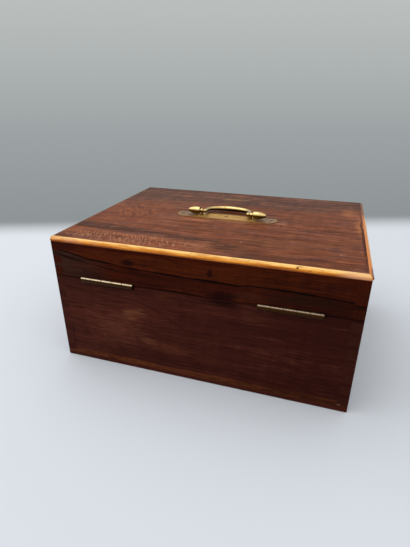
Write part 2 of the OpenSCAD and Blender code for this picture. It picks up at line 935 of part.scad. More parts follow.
case_back();
case_front();
case_left();
case_right();
case_bottom();
bottom_screws();
hinge_leaf_case_left();
hinge_leaf_case_right();
hinge_pin_left();
hinge_pin_right();
hinge_screws_case();
lock_selvedge();
lock_case();
lock_back_plate();
lock_drill_pin();
lock_bolt();
lock_screws();
keyhole_escutcheon();
lid_back();
lid_front();
lid_left();
lid_right();
lid_top();
edging_front();
edging_back();
edging_left();
edging_right();
hinge_leaf_lid_left();
hinge_leaf_lid_right();
hinge_screws_lid();
strike_plate();
strike_screws();
handle_plate();
handle_plate_screws();
handle_post_left();
handle_post_right();
handle_washers();
handle_nuts();
handle_bail();
handle_finial_left();
handle_finial_right();
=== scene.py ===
"""Looks of a French-polished wooden travel case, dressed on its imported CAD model.

The case stands on Z = 0 with its front at -Y and its hinges at +Y. Sizes in this file are millimetres,
and MM turns them to the metres of the frame.
"""

import logging
import math
from collections.abc import Sequence
from dataclasses import dataclass
from enum import Enum
from typing import Protocol

import bmesh
import bpy
from mathutils import Matrix, Vector

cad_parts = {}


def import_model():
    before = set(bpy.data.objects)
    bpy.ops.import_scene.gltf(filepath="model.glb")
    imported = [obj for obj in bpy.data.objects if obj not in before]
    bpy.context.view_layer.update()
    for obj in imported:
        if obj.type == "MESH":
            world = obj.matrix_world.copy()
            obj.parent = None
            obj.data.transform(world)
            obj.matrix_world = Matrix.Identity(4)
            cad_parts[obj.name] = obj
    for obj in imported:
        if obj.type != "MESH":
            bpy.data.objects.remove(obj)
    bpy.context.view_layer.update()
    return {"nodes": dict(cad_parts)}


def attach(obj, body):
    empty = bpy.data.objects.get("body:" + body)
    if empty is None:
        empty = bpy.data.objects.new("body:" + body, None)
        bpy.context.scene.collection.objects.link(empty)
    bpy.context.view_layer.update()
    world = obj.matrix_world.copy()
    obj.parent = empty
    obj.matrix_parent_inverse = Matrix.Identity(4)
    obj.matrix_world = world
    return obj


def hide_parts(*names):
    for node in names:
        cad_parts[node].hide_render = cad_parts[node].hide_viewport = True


log = logging.getLogger("travel_case")

MM = 0.001
# Half size of an oval that runs right through a board
THROUGH = 400.0
# Half size of an oval that runs round the whole case
ENDLESS = 4000.0
# Bounds of a fade along X that lie past every board, so that nothing fades
NO_FADE = (400.0, 399.0)
Socket = bpy.types.NodeSocket


def linear(code: str) -> tuple[float, float, float, float]:
    """Turns an sRGB hex colour such as '#c8a050' to linear RGBA.

    Args:
        code: the colour, with its leading hash.

    Returns:
        Red, green, blue and an alpha of one.
    """
    shares = [int(code[i : i + 2], 16) / 255 for i in (1, 3, 5)]
    return (*(s / 12.92 if s <= 0.04045 else ((s + 0.055) / 1.055) ** 2.4 for s in shares), 1.0)


def add_node(
    tree: bpy.types.NodeTree,
    kind: str,
    settings: dict | None = None,
    inputs: dict | None = None,
    stops: Sequence[tuple] | None = None,
) -> Socket:
    """Adds one shader node with its settings and links.

    Args:
        tree: the node tree that gets it.
        kind: the node's type, without its leading 'ShaderNode'.
        settings: properties of the node.
        inputs: a value or another node's output for each input, by name or number.
        stops: (place, colour) of each stop of a ramp, or (x, y) of each point of a curve.

    Returns:
        The node's first output.
    """
    node = tree.nodes.new("ShaderNode" + kind)
    for name, value in (settings or {}).items():
        setattr(node, name, value)
    for key, value in (inputs or {}).items():
        if isinstance(value, Socket):
            tree.links.new(value, node.inputs[key])
        else:
            node.inputs[key].default_value = value
    if stops and kind == "ValToRGB":
        elements = node.color_ramp.elements
        while len(elements) < len(stops):
            elements.new(1.0)
        for element, (place, code) in zip(elements, stops):
            element.position, element.color = place, linear(code)
    if stops and kind == "FloatCurve":
        curve = node.mapping.curves[0]
        while len(curve.points) < len(stops):
            curve.points.new(1.0, 1.0)
        for point, place in zip(curve.points, stops):
            point.location = place
        node.mapping.update()
    return node.outputs[0]


def new_material(name: str) -> tuple[bpy.types.Material, bpy.types.NodeTree, bpy.types.Node]:
    """Makes a material that has only its Principled shader.

    Args:
        name: the finish's name.

    Returns:
        The material, its node tree and the shader.
    """
    material = bpy.data.materials.new(name)
    material.use_nodes = True
    shader = material.node_tree.nodes["Principled BSDF"]
    return material, material.node_tree, shader


def millimetres(tree: bpy.types.NodeTree) -> Socket:
    """Gives the place on the object in millimetres.

    Args:
        tree: the node tree that reads it.

    Returns:
        The Object coordinates, scaled to millimetres.
    """
    coordinates = add_node(tree, "TexCoord").node.outputs["Object"]
    return add_node(tree, "Mapping", inputs={"Vector": coordinates, "Scale": (1 / MM,) * 3})


class Grain(Enum):
    """The way a board's fibres run."""

    ALONG_X = 0
    ALONG_Y = 1

    def stretch(self, along: float, across: float) -> tuple[float, float, float]:
        """Scales a pattern to cells of one length and width.

        Args:
            along: a cell's length along the fibres.
            across: its width across them.

        Returns:
            Cells for each millimetre along each axis.
        """
        scale = [1 / across] * 3
        scale[self.value] = 1 / along
        return tuple(scale)

    def direction(self) -> tuple[float, float, float]:
        """The unit vector along the fibres."""
        return tuple(1.0 if axis == self.value else 0.0 for axis in range(3))


class Side(Enum):
    """A side of the case, with the way that its board's inner face looks."""

    BACK = (0.0, -1.0, 0.0)
    FRONT = (0.0, 1.0, 0.0)
    LEFT = (1.0, 0.0, 0.0)
    RIGHT = (-1.0, 0.0, 0.0)
    BOTTOM = (0.0, 0.0, 1.0)
    TOP = (0.0, 0.0, -1.0)

    def grain(self) -> Grain:
        """The way its fibres run: front to back on the short sides, and along the case elsewhere."""
        return Grain.ALONG_Y if self in (Side.LEFT, Side.RIGHT) else Grain.ALONG_X


class Face(Enum):
    """How a surface lies, with the axis that its growth lines are measured on."""

    LEVEL = "Y"
    UPRIGHT = "Z"


@dataclass(frozen=True)
class Surface:
    """A board's surface as its material sees it, in millimetres.

    The place is swayed a little from spot to spot, as grown wood is, and the fringe is a rough pattern
    along the fibres, from -0.5 to 0.5, that frays the borders of marks. At nought they are smooth.
    """

    tree: bpy.types.NodeTree
    place: Socket
    fringe: Socket | float = 0.0

    def share(self, value: Socket, start: float, end: float, strength: float | Socket = 1.0) -> Socket:
        """Turns a value to a share that rises smoothly to a strength between two bounds.

        Args:
            value: what is measured.
            start: where the share is nought.
            end: where the share reaches its strength.
            strength: the share beyond the end.

        Returns:
            The share.
        """
        bounds = {"Value": value, "From Min": start, "From Max": end, "To Max": strength}
        return add_node(self.tree, "MapRange", {"interpolation_type": "SMOOTHSTEP"}, bounds)

    def tint(self, share: Socket, colour: Socket, tone: str) -> Socket:
        """Mixes a share of one tone into a colour.

        Args:
            share: how much of the tone, from 0 to 1.
            colour: the colour before it.
            tone: the sRGB hex tone.

        Returns:
            The mixed colour.
        """
        mixed = {0: share, 6: colour, 7: linear(tone)}
        return add_node(self.tree, "Mix", {"data_type": "RGBA"}, mixed).node.outputs[2]

    def noise(self, scale: tuple[float, float, float], shift: float, detail: float) -> Socket:
        """Makes a cloudy pattern on the board.

        Args:
            scale: cells for each millimetre along each axis.
            shift: how far the pattern is moved, so that no two are alike.
            detail: how many finer octaves it has.

        Returns:
            The pattern, about 0.5 on average.
        """
        placing = {"Vector": self.place, "Location": (shift,) * 3, "Scale": scale}
        stretched = add_node(self.tree, "Mapping", inputs=placing)
        return add_node(self.tree, "TexNoise", inputs={"Vector": stretched, "Scale": 1.0, "Detail": detail})


class Mark(Protocol):
    """Anything that lays another tone on a surface."""

    def lay(self, surface: Surface, colour: Socket) -> Socket:
        """Lays the tone over a colour, and gives the new colour."""


@dataclass(frozen=True)
class Oval:
    """A soft oval in the wood: its middle and half sizes in millimetres, and its turn in degrees.

    The core is the share of its reach that it covers in full, and the fray is how far its border wanders.
    """

    middle: tuple[float, float, float]
    half: tuple[float, float, float]
    turn: tuple[float, float, float] = (0.0, 0.0, 0.0)
    core: float = 0.25
    fray: float = 0.9

    @classmethod
    def down(
        cls, middle: tuple[float, float], half: tuple[float, float], core: float = 0.25, fray: float = 0.9
    ) -> "Oval":
        """Makes an oval, as seen from above, that runs down through a board.

        Args:
            middle: its X and Y.
            half: its half sizes along X and Y.
            core: the share that it covers in full.
            fray: how far its border wanders.

        Returns:
            The oval.
        """
        return cls((*middle, 0.0), (*half, THROUGH), core=core, fray=fray)

    @classmethod
    def inward(
        cls,
        middle: tuple[float, float],
        half: tuple[float, float],
        core: float = 0.25,
        fray: float = 0.9,
        turn: float = 0.0,
    ) -> "Oval":
        """Makes an oval, as seen from behind, that runs in through a board.

        Args:
            middle: its X and Z.
            half: its half sizes along X and Z.
            core: the share that it covers in full.
            fray: how far its border wanders.
            turn: its turn about Y in degrees.

        Returns:
            The oval.
        """
        x, z = middle
        half_x, half_z = half
        return cls((x, 0.0, z), (half_x, THROUGH, half_z), (0.0, turn, 0.0), core, fray)

    def cover(self, surface: Surface, strength: float = 1.0) -> Socket:
        """Finds how much of each place the oval covers.

        Args:
            surface: the board's surface.
            strength: how much it covers at its core.

        Returns:
            A share from 0 to the strength.
        """
        tree = surface.tree
        placing = {
            "Vector": surface.place,
            "Location": self.middle,
            "Rotation": tuple(math.radians(angle) for angle in self.turn),
            "Scale": self.half,
        }
        local = add_node(tree, "Mapping", {"vector_type": "TEXTURE"}, placing)
        reach = add_node(tree, "VectorMath", {"operation": "LENGTH"}, {0: local}).node.outputs["Value"]
        frayed = {0: surface.fringe, 1: self.fray, 2: reach}
        reach = add_node(tree, "Math", {"operation": "MULTIPLY_ADD"}, frayed)
        return surface.share(reach, 1.0, self.core, strength)


@dataclass(frozen=True)
class Blot:
    """An oval of another tone in the wood, such as a knot or a pale patch."""

    tone: str
    strength: float
    oval: Oval

    def lay(self, surface: Surface, colour: Socket) -> Socket:
        """Lays the oval over a colour.

        Args:
            surface: the board's surface.
            colour: what the wood has there without it.

        Returns:
            The colour with the oval on it.
        """
        return surface.tint(self.oval.cover(surface, self.strength), colour, self.tone)


@dataclass(frozen=True)
class Clouds:
    """Patches or ripples of another tone, over a whole board or within an oval of it.

    Their usual length and width are in millimetres, their slant to X in degrees, and the bounds are those
    of the noise between which a patch fades in.
    """

    tone: str
    strength: float
    size: tuple[float, float]
    slant: float = 0.0
    within: Oval | None = None
    seed: float = 5.0
    bounds: tuple[float, float] = (0.46, 0.64)

    def lay(self, surface: Surface, colour: Socket) -> Socket:
        """Lays the patches over a colour.

        Args:
            surface: the board's surface.
            colour: what the wood has there without them.

        Returns:
            The colour with the patches on it.
        """
        tree = surface.tree
        turn = {"Vector": surface.place, "Rotation": (0.0, 0.0, math.radians(-self.slant))}
        turned = Surface(tree, add_node(tree, "Mapping", inputs=turn), surface.fringe)
        along, across = self.size
        noise = turned.noise((1 / along, 1 / across, 1 / across), shift=self.seed, detail=2.0)
        share = surface.share(noise, *self.bounds, self.strength)
        if self.within:
            cover = self.within.cover(surface)
            share = add_node(tree, "Math", {"operation": "MULTIPLY"}, {0: share, 1: cover})
        return surface.tint(share, colour, self.tone)


@dataclass(frozen=True)
class Course:
    """A growth line along a board, through a few points of it: X, and Y or Z, in millimetres."""

    points: tuple[tuple[float, float], ...]
    face: Face = Face.UPRIGHT

    def beyond(self, surface: Surface) -> Socket:
        """Measures how far a place lies beyond the line, towards the back or the top.

        Args:
            surface: the board's surface.

        Returns:
            The distance in millimetres, negative on the near side.
        """
        tree = surface.tree
        first, last = self.points[0][0], self.points[-1][0]
        low = min(rise for _, rise in self.points)
        high = max(rise for _, rise in self.points)
        span = (high - low) or 1.0
        parts = add_node(tree, "SeparateXYZ", inputs={0: surface.place}).node.outputs
        along = add_node(tree, "MapRange", inputs={"Value": parts["X"], "From Min": first, "From Max": last})
        stops = [((x - first) / (last - first), (rise - low) / span) for x, rise in self.points]
        curve = add_node(tree, "FloatCurve", inputs={"Value": along}, stops=stops)
        line = add_node(tree, "MapRange", inputs={"Value": curve, "To Min": low, "To Max": high})
        return add_node(tree, "Math", {"operation": "SUBTRACT"}, {0: parts[self.face.value], 1: line})


@dataclass(frozen=True)
class Vein:
    """A dark growth line of uneven width, fading along X between two places.

    Its half width swells and narrows between two shares of the usual one, every few centimetres, as a
    noise moves between its bounds.
    """

    course: Course
    tone: str
    half_w: float
    strength: float
    fade: tuple[float, float] = NO_FADE
    swell_l: float = 30.0
    swell_bounds: tuple[float, float] = (0.35, 0.7)
    swell_seed: float = 4.4
    least: float = 0.6
    most: float = 2.4
    core: float = 0.15

    def lay(self, surface: Surface, colour: Socket) -> Socket:
        """Lays the line over a colour.

        Args:
            surface: the board's surface.
            colour: what the wood has there without it.

        Returns:
            The colour with the line on it.
        """
        tree = surface.tree
        off = add_node(tree, "Math", {"operation": "ABSOLUTE"}, {0: self.course.beyond(surface)})
        swell = surface.noise((1 / self.swell_l, 0.0, 0.0), shift=self.swell_seed + self.half_w, detail=1.0)
        start, end = self.swell_bounds
        bounds = {"Value": swell, "From Min": start, "From Max": end}
        bounds |= {"To Min": self.least * self.half_w, "To Max": self.most * self.half_w}
        width = add_node(tree, "MapRange", inputs=bounds)
        near = add_node(tree, "Math", {"operation": "DIVIDE"}, {0: off, 1: width})
        along = add_node(tree, "SeparateXYZ", inputs={0: surface.place}).node.outputs["X"]
        strength = surface.share(along, *self.fade, self.strength)
        return surface.tint(surface.share(near, 1.0, self.core, strength), colour, self.tone)


@dataclass(frozen=True)
class Zone:
    """Wood of another tone between two growth lines, or beyond one, fading along X.

    Its border is soft over some millimetres either way, and wanders by a few times as much.
    """

    tone: str
    strength: float
    above: Course | None = None
    below: Course | None = None
    soft: float = 3.0
    fade: tuple[float, float] = NO_FADE
    wander: float = 3.0

    def lay(self, surface: Surface, colour: Socket) -> Socket:
        """Lays the zone over a colour.

        Args:
            surface: the board's surface.
            colour: what the wood has there without it.

        Returns:
            The colour with the zone on it.
        """
        tree = surface.tree
        along = add_node(tree, "SeparateXYZ", inputs={0: surface.place}).node.outputs["X"]
        share = surface.share(along, *self.fade, self.strength)
        for course, side in ((self.above, 1.0), (self.below, -1.0)):
            if course is not None:
                frayed = {0: surface.fringe, 1: self.wander * self.soft, 2: course.beyond(surface)}
                depth = add_node(tree, "Math", {"operation": "MULTIPLY_ADD"}, frayed)
                inside = surface.share(depth, -side * self.soft, side * self.soft)
                share = add_node(tree, "Math", {"operation": "MULTIPLY"}, {0: share, 1: inside})
        return surface.tint(share, colour, self.tone)


@dataclass(frozen=True)
class Tones:
    """The tones of one rosewood plank, from its darkest streaks to its lightest."""

    deep: str
    dark: str
    middle: str
    light: str
    blush: str
    end: str


@dataclass(frozen=True)
class PolishedRosewood:
    """Rosewood, planed and French-polished: dark streaks under a thin clear film of shellac.

    The eye sees long irregular streaks, a faint mottle across them, short open pores and a soft gloss.
    A pattern's size is the usual length and width of its cells, in millimetres. Its bounds are where its
    share starts and where it is full, followed by the share if that is fixed.
    """

    name: str
    grain: Grain
    tones: Tones
    seed: float
    inner: tuple[float, float, float]
    rim: tuple[float, float, float]
    contrast: float
    ink_share: float
    end_share: float
    inner_share: float = 0.45
    rim_share: float = 0.8
    face_bounds: tuple[float, float] = (0.6, 0.8)
    sways: tuple[tuple[float, float, float], ...] = ((75.0, 24.0, 5.0), (17.0, 6.0, 1.6))
    fringe: tuple[float, float] = (12.0, 2.2)
    blush: tuple[float, float] = (95.0, 22.0)
    blush_bounds: tuple[float, float, float] = (0.42, 0.62, 0.6)
    band: tuple[float, float] = (150.0, 12.0)
    streak: tuple[float, float] = (60.0, 2.2)
    fibre: tuple[float, float] = (16.0, 1.1)
    mottle: tuple[float, float] = (7.0, 30.0)
    shares: tuple[float, float, float, float] = (0.24, 0.34, 0.28, 0.14)
    dark_bounds: tuple[float, float, float] = (0.56, 0.1, 0.85)
    light_bounds: tuple[float, float, float] = (0.5, 0.95, 0.8)
    ink: tuple[float, float] = (80.0, 1.7)
    ink_bounds: tuple[float, float] = (0.54, 0.68)
    pore: tuple[float, float] = (4.5, 0.45)
    pore_bounds: tuple[float, float, float] = (0.62, 0.72, 0.5)
    pore_depth: float = 0.6
    relief: float = 0.08
    bump: float = 0.15
    roughness: float = 0.3
    dark_dulls: float = 0.06
    light_shines: float = 0.03
    level: float = 0.016
    grounds: tuple[Mark, ...] = ()
    marks: tuple[Mark, ...] = ()

    def build(self) -> bpy.types.Material:
        """Builds the material.

        Returns:
            The finished material.
        """
        material, tree, shader = new_material(self.name)
        surface = self.surface(tree)
        figure = self.figure(surface)
        tones = self.tones
        base = add_node(tree, "RGB")
        base.default_value = linear(tones.middle)
        # Each pattern is shifted by a step of its own from the seed, so that no two are alike
        blush = surface.noise(self.grain.stretch(*self.blush), shift=self.seed + 31.0, detail=2.0)
        colour = surface.tint(surface.share(blush, *self.blush_bounds), base, tones.blush)
        for ground in self.grounds:
            colour = ground.lay(surface, colour)
        colour = surface.tint(surface.share(figure, *self.dark_bounds), colour, tones.dark)
        colour = surface.tint(surface.share(figure, *self.light_bounds), colour, tones.light)
        ink = surface.noise(self.grain.stretch(*self.ink), shift=self.seed + 53.0, detail=2.0)
        colour = surface.tint(surface.share(ink, *self.ink_bounds, self.ink_share), colour, tones.deep)
        for mark in self.marks:
            colour = mark.lay(surface, colour)
        pores = self.pores(surface)
        colour = surface.tint(pores, colour, tones.deep)
        colour = self.bare_faces(surface, colour)
        dull, shiny = self.roughness + self.dark_dulls, self.roughness - self.light_shines
        roughness = add_node(tree, "MapRange", inputs={"Value": figure, "To Min": dull, "To Max": shiny})
        sunk = {0: pores, 1: -self.pore_depth, 2: figure}
        relief = add_node(tree, "Math", {"operation": "MULTIPLY_ADD"}, sunk)
        raised = {"Strength": self.bump, "Distance": self.relief * MM, "Height": relief}
        bump = add_node(tree, "Bump", inputs=raised)
        tree.links.new(colour, shader.inputs["Base Color"])
        tree.links.new(roughness, shader.inputs["Roughness"])
        tree.links.new(bump, shader.inputs["Normal"])
        shader.inputs["Specular IOR Level"].default_value = self.level
        return material

    def surface(self, tree: bpy.types.NodeTree) -> Surface:
        """Sets up the board's surface, with its place swayed in long and in short waves.

        A sway is a wave's length and width and how far it carries a place, in millimetres.

        Args:
            tree: the material's node tree.

        Returns:
            The surface.
        """
        place = millimetres(tree)
        for turn, (along, across, sway) in enumerate(self.sways):
            stretch = self.grain.stretch(along, across)
            noise = Surface(tree, place).noise(stretch, shift=self.seed + 11.0 * turn, detail=2.0)
            centred = {0: noise.node.outputs["Color"], 1: (0.5,) * 3}
            drift = add_node(tree, "VectorMath", {"operation": "SUBTRACT"}, centred)
            drift = add_node(tree, "VectorMath", {"operation": "SCALE"}, {0: drift, "Scale": sway})
            place = add_node(tree, "VectorMath", {"operation": "ADD"}, {0: place, 1: drift})
        stretch = self.grain.stretch(*self.fringe)
        rough = Surface(tree, place).noise(stretch, shift=self.seed + 71.0, detail=3.0)
        fringe = add_node(tree, "Math", {"operation": "SUBTRACT"}, {0: rough, 1: 0.5})
        return Surface(tree, place, fringe)

    def figure(self, surface: Surface) -> Socket:
        """Adds up broad bands, streaks, fibres and the mottle across them.

        Args:
            surface: the board's surface.

        Returns:
            A share from 0, the darkest, to 1, the lightest.
        """
        total = None
        patterns = (self.band, self.streak, self.fibre, self.mottle)
        for turn, ((along, across), share) in enumerate(zip(patterns, self.shares)):
            noise = surface.noise(self.grain.stretch(along, across), shift=self.seed + 3.7 * turn, detail=3.0)
            added = {0: noise, 1: share, 2: total or 0.0}
            total = add_node(surface.tree, "Math", {"operation": "MULTIPLY_ADD"}, added)
        spread = 0.5 / self.contrast
        bounds = {"Value": total, "From Min": 0.5 - spread, "From Max": 0.5 + spread}
        return add_node(surface.tree, "MapRange", inputs=bounds)

    def pores(self, surface: Surface) -> Socket:
        """Finds the open pores, drawn twice as wide as real ones so that they show in the render.

        Args:
            surface: the board's surface.

        Returns:
            A share from 0, closed wood, to 1, a pore.
        """
        noise = surface.noise(self.grain.stretch(*self.pore), shift=self.seed, detail=1.0)
        start, end, share = self.pore_bounds
        bounds = {"Value": noise, "From Min": start, "From Max": end, "To Max": share}
        return add_node(surface.tree, "MapRange", inputs=bounds)

    def bare_faces(self, surface: Surface, colour: Socket) -> Socket:
        """Gives end grain its own tone, the inner face a paler one, and the rim the plain wood's.

        Args:
            surface: the board's surface.
            colour: the colour of the polished long grain.

        Returns:
            The colour of whichever face it is.
        """
        tree = surface.tree
        facing = add_node(tree, "TexCoord").node.outputs["Normal"]
        fibres = self.grain.direction()
        start, end = self.face_bounds
        for direction, tone, strength in (
            (fibres, self.tones.end, self.end_share),
            (self.inner, self.tones.light, self.inner_share),
            (self.rim, self.tones.middle, self.rim_share),
        ):
            dot = add_node(tree, "VectorMath", {"operation": "DOT_PRODUCT"}, {0: facing, 1: direction})
            dot = dot.node.outputs["Value"]
            if direction == fibres:
                dot = add_node(tree, "Math", {"operation": "ABSOLUTE"}, {0: dot})
            bounds = {"Value": dot, "From Min": start, "From Max": end, "To Max": strength}
            colour = surface.tint(add_node(tree, "MapRange", inputs=bounds), colour, tone)
        return colour


@dataclass(frozen=True)
class PolishedBoxwood:
    """Boxwood, scraped round and polished, browner where dirt gathers, with painted light and shade.

    Its tone runs with how the wood faces, as painted light and shade: cream on top and amber below. The
    eye sees fine straight streaks and a brighter gloss than the rosewood's. The crown is the tone of the
    strip that faces up, and the mitres lie where X is more than Y by the corner's offset, in millimetres. A
    streak lifts the tone as if the wood there faced up more. Bounds are as in the rosewood.
    """

    name: str
    grain: Grain
    crown: str
    crown_share: float
    corner_off: float
    seed: float
    cream: str = "#fccc78"
    gold: str = "#ee9a34"
    amber: str = "#964802"
    dirt: str = "#3a1808"
    crown_bounds: tuple[float, float] = (0.6, 0.9)
    streak: tuple[float, float] = (45.0, 1.3)
    streak_lift: float = 1.4
    light_and_shade_bounds: tuple[float, float] = (0.85, 1.6)
    speck: tuple[float, float] = (3.0, 1.0)
    speck_bounds: tuple[float, float, float] = (0.68, 0.74, 0.7)
    mitre_w: float = 0.55
    mitre_share: float = 0.9
    roughness: float = 0.24
    level: float = 0.12
    marks: tuple[Mark, ...] = ()

    def build(self) -> bpy.types.Material:
        """Builds the material.

        Returns:
            The finished material.
        """
        material, tree, shader = new_material(self.name)
        place = millimetres(tree)
        streaks = Surface(tree, place).noise(self.grain.stretch(*self.streak), shift=self.seed, detail=3.0)
        fringe = add_node(tree, "Math", {"operation": "SUBTRACT"}, {0: streaks, 1: 0.5})
        surface = Surface(tree, place, fringe)
        facing = add_node(tree, "TexCoord").node.outputs["Normal"]
        rise = add_node(tree, "SeparateXYZ", inputs={0: facing}).node.outputs["Z"]
        lifted = {0: streaks, 1: self.streak_lift, 2: rise}
        height = add_node(tree, "Math", {"operation": "MULTIPLY_ADD"}, lifted)
        start, end = self.light_and_shade_bounds
        # Painted light and shade: amber where the edging faces sideways and cream where it faces up
        stops = [(0.0, self.amber), (0.5, self.gold), (1.0, self.cream)]
        lit_share = add_node(tree, "MapRange", inputs={"Value": height, "From Min": start, "From Max": end})
        colour = add_node(tree, "ValToRGB", inputs={"Fac": lit_share}, stops=stops)
        colour = surface.tint(surface.share(rise, *self.crown_bounds, self.crown_share), colour, self.crown)
        specks = surface.noise(self.grain.stretch(*self.speck), shift=self.seed + 5.0, detail=2.0)
        colour = surface.tint(surface.share(specks, *self.speck_bounds), colour, self.dirt)
        for mark in self.marks:
            colour = mark.lay(surface, colour)
        colour = surface.tint(self.mitres(surface), colour, self.dirt)
        tree.links.new(colour, shader.inputs["Base Color"])
        shader.inputs["Roughness"].default_value = self.roughness
        shader.inputs["Specular IOR Level"].default_value = self.level
        return material

    def mitres(self, surface: Surface) -> Socket:
        """Finds the dirt in the four mitred joints.

        Args:
            surface: the edging's surface.

        Returns:
            A share from 0 to 1.
        """
        tree = surface.tree
        parts = add_node(tree, "SeparateXYZ", inputs={0: surface.place}).node.outputs
        across = add_node(tree, "Math", {"operation": "ABSOLUTE"}, {0: parts["X"]})
        back = add_node(tree, "Math", {"operation": "ABSOLUTE"}, {0: parts["Y"]})
        off = add_node(tree, "Math", {"operation": "SUBTRACT"}, {0: across, 1: back})
        off = add_node(tree, "Math", {"operation": "SUBTRACT"}, {0: off, 1: self.corner_off})
        off = add_node(tree, "Math", {"operation": "ABSOLUTE"}, {0: off})
        return surface.share(off, self.mitre_w, 0.0, self.mitre_share)


@dataclass(frozen=True)
class WornMetal:
    """Brass or steel, cast, rolled or turned: bright where it is rubbed, with soft patches of tarnish.

    The eye sees blurred reflections, faint scratches along X and the patches, whose usual size is in
    millimetres. A patch shows between the tarnish's bounds, and it is rougher than the bright metal.
    """

    name: str
    bright: str
    tarnish: str
    tarnish_share: float
    roughness: float
    patch: float
    metallic: float = 1.0
    tarnish_bounds: tuple[float, float] = (0.42, 0.68)
    bright_shines: float = 0.04
    tarnish_dulls: float = 0.1
    scratch: tuple[float, float] = (2.5, 0.25)
    relief: float = 0.02
    bump: float = 0.05
    spots: tuple[Mark, ...] = ()

    def build(self) -> bpy.types.Material:
        """Builds the material.

        Returns:
            The finished material.
        """
        material, tree, shader = new_material(self.name)
        place = millimetres(tree)
        plain = Surface(tree, place)
        clouds = plain.noise((1 / self.patch,) * 3, shift=2.6, detail=4.0)
        fringe = add_node(tree, "Math", {"operation": "SUBTRACT"}, {0: clouds, 1: 0.5})
        surface = Surface(tree, place, fringe)
        base = add_node(tree, "RGB")
        base.default_value = linear(self.bright)
        patches = surface.share(clouds, *self.tarnish_bounds, self.tarnish_share)
        colour = surface.tint(patches, base, self.tarnish)
        for spot in self.spots:
            colour = spot.lay(surface, colour)
        shiny, dull = self.roughness - self.bright_shines, self.roughness + self.tarnish_dulls
        roughness = add_node(tree, "MapRange", inputs={"Value": clouds, "To Min": shiny, "To Max": dull})
        scratches = plain.noise(Grain.ALONG_X.stretch(*self.scratch), shift=0.0, detail=2.0)
        raised = {"Strength": self.bump, "Distance": self.relief * MM, "Height": scratches}
        bump = add_node(tree, "Bump", inputs=raised)
        tree.links.new(colour, shader.inputs["Base Color"])
        tree.links.new(roughness, shader.inputs["Roughness"])
        tree.links.new(bump, shader.inputs["Normal"])
        shader.inputs["Metallic"].default_value = self.metallic
        return material


@dataclass(frozen=True)
class UndersideShade:
    """Brown painted on metal faces that look up too little: painted shade and reflection of the wood below.

    A level face looks up by 1 and an upright one by 0. The painted shade starts at the first bound and is
    full at the second.
    """

    tone: str
    bounds: tuple[float, float]

    def lay(self, surface: Surface, colour: Socket) -> Socket:
        """Lays the painted shade over a colour.

        Args:
            surface: the metal's surface.
            colour: the colour of the metal before the shade.

        Returns:
            The colour with the painted shade on it.
        """
        tree = surface.tree
        facing = add_node(tree, "TexCoord").node.outputs["Normal"]
        rise = add_node(tree, "SeparateXYZ", inputs={0: facing}).node.outputs["Z"]
        return surface.tint(surface.share(rise, *self.bounds), colour, self.tone)


@dataclass(frozen=True)
class KnuckleGapDirtAndShade:
    """Dirt and painted shade in the gaps between a hinge's knuckles, alike on both hinges.

    It starts at one gap's distance from the middle of the case, comes again at each knuckle's pitch, and
    is only on the barrel, behind the start of its Y. Its sizes are in millimetres.
    """

    tone: str
    start: float = 62.0
    pitch: float = 11.6
    gap_w: float = 0.55
    from_y: float = 115.2
    fade_y: float = 0.5
    strength: float = 0.9

    def lay(self, surface: Surface, colour: Socket) -> Socket:
        """Lays the dirt and painted shade over a colour.

        Args:
            surface: the hinge's surface.
            colour: the colour of the clean brass.

        Returns:
            The colour with the dirt and painted shade on it.
        """
        tree = surface.tree
        parts = add_node(tree, "SeparateXYZ", inputs={0: surface.place}).node.outputs
        along = add_node(tree, "Math", {"operation": "ABSOLUTE"}, {0: parts["X"]})
        along = add_node(tree, "Math", {"operation": "SUBTRACT"}, {0: along, 1: self.start})
        off = add_node(tree, "Math", {"operation": "PINGPONG"}, {0: along, 1: self.pitch / 2})
        on_barrel = surface.share(parts["Y"], self.from_y, self.from_y + self.fade_y, self.strength)
        return surface.tint(surface.share(off, self.gap_w, 0.0, on_barrel), colour, self.tone)


def dress(nodes: dict[str, bpy.types.Object], finishes: dict[str, bpy.types.Material]) -> None:
    """Gives CAD nodes their finishes.

    Args:
        nodes: the frame's nodes.
        finishes: a material for each node's name.
    """
    for name, material in finishes.items():
        mesh = nodes[name].data
        mesh.materials.clear()
        mesh.materials.append(material)
        log.info("%s is dressed in %s", name, material.name)


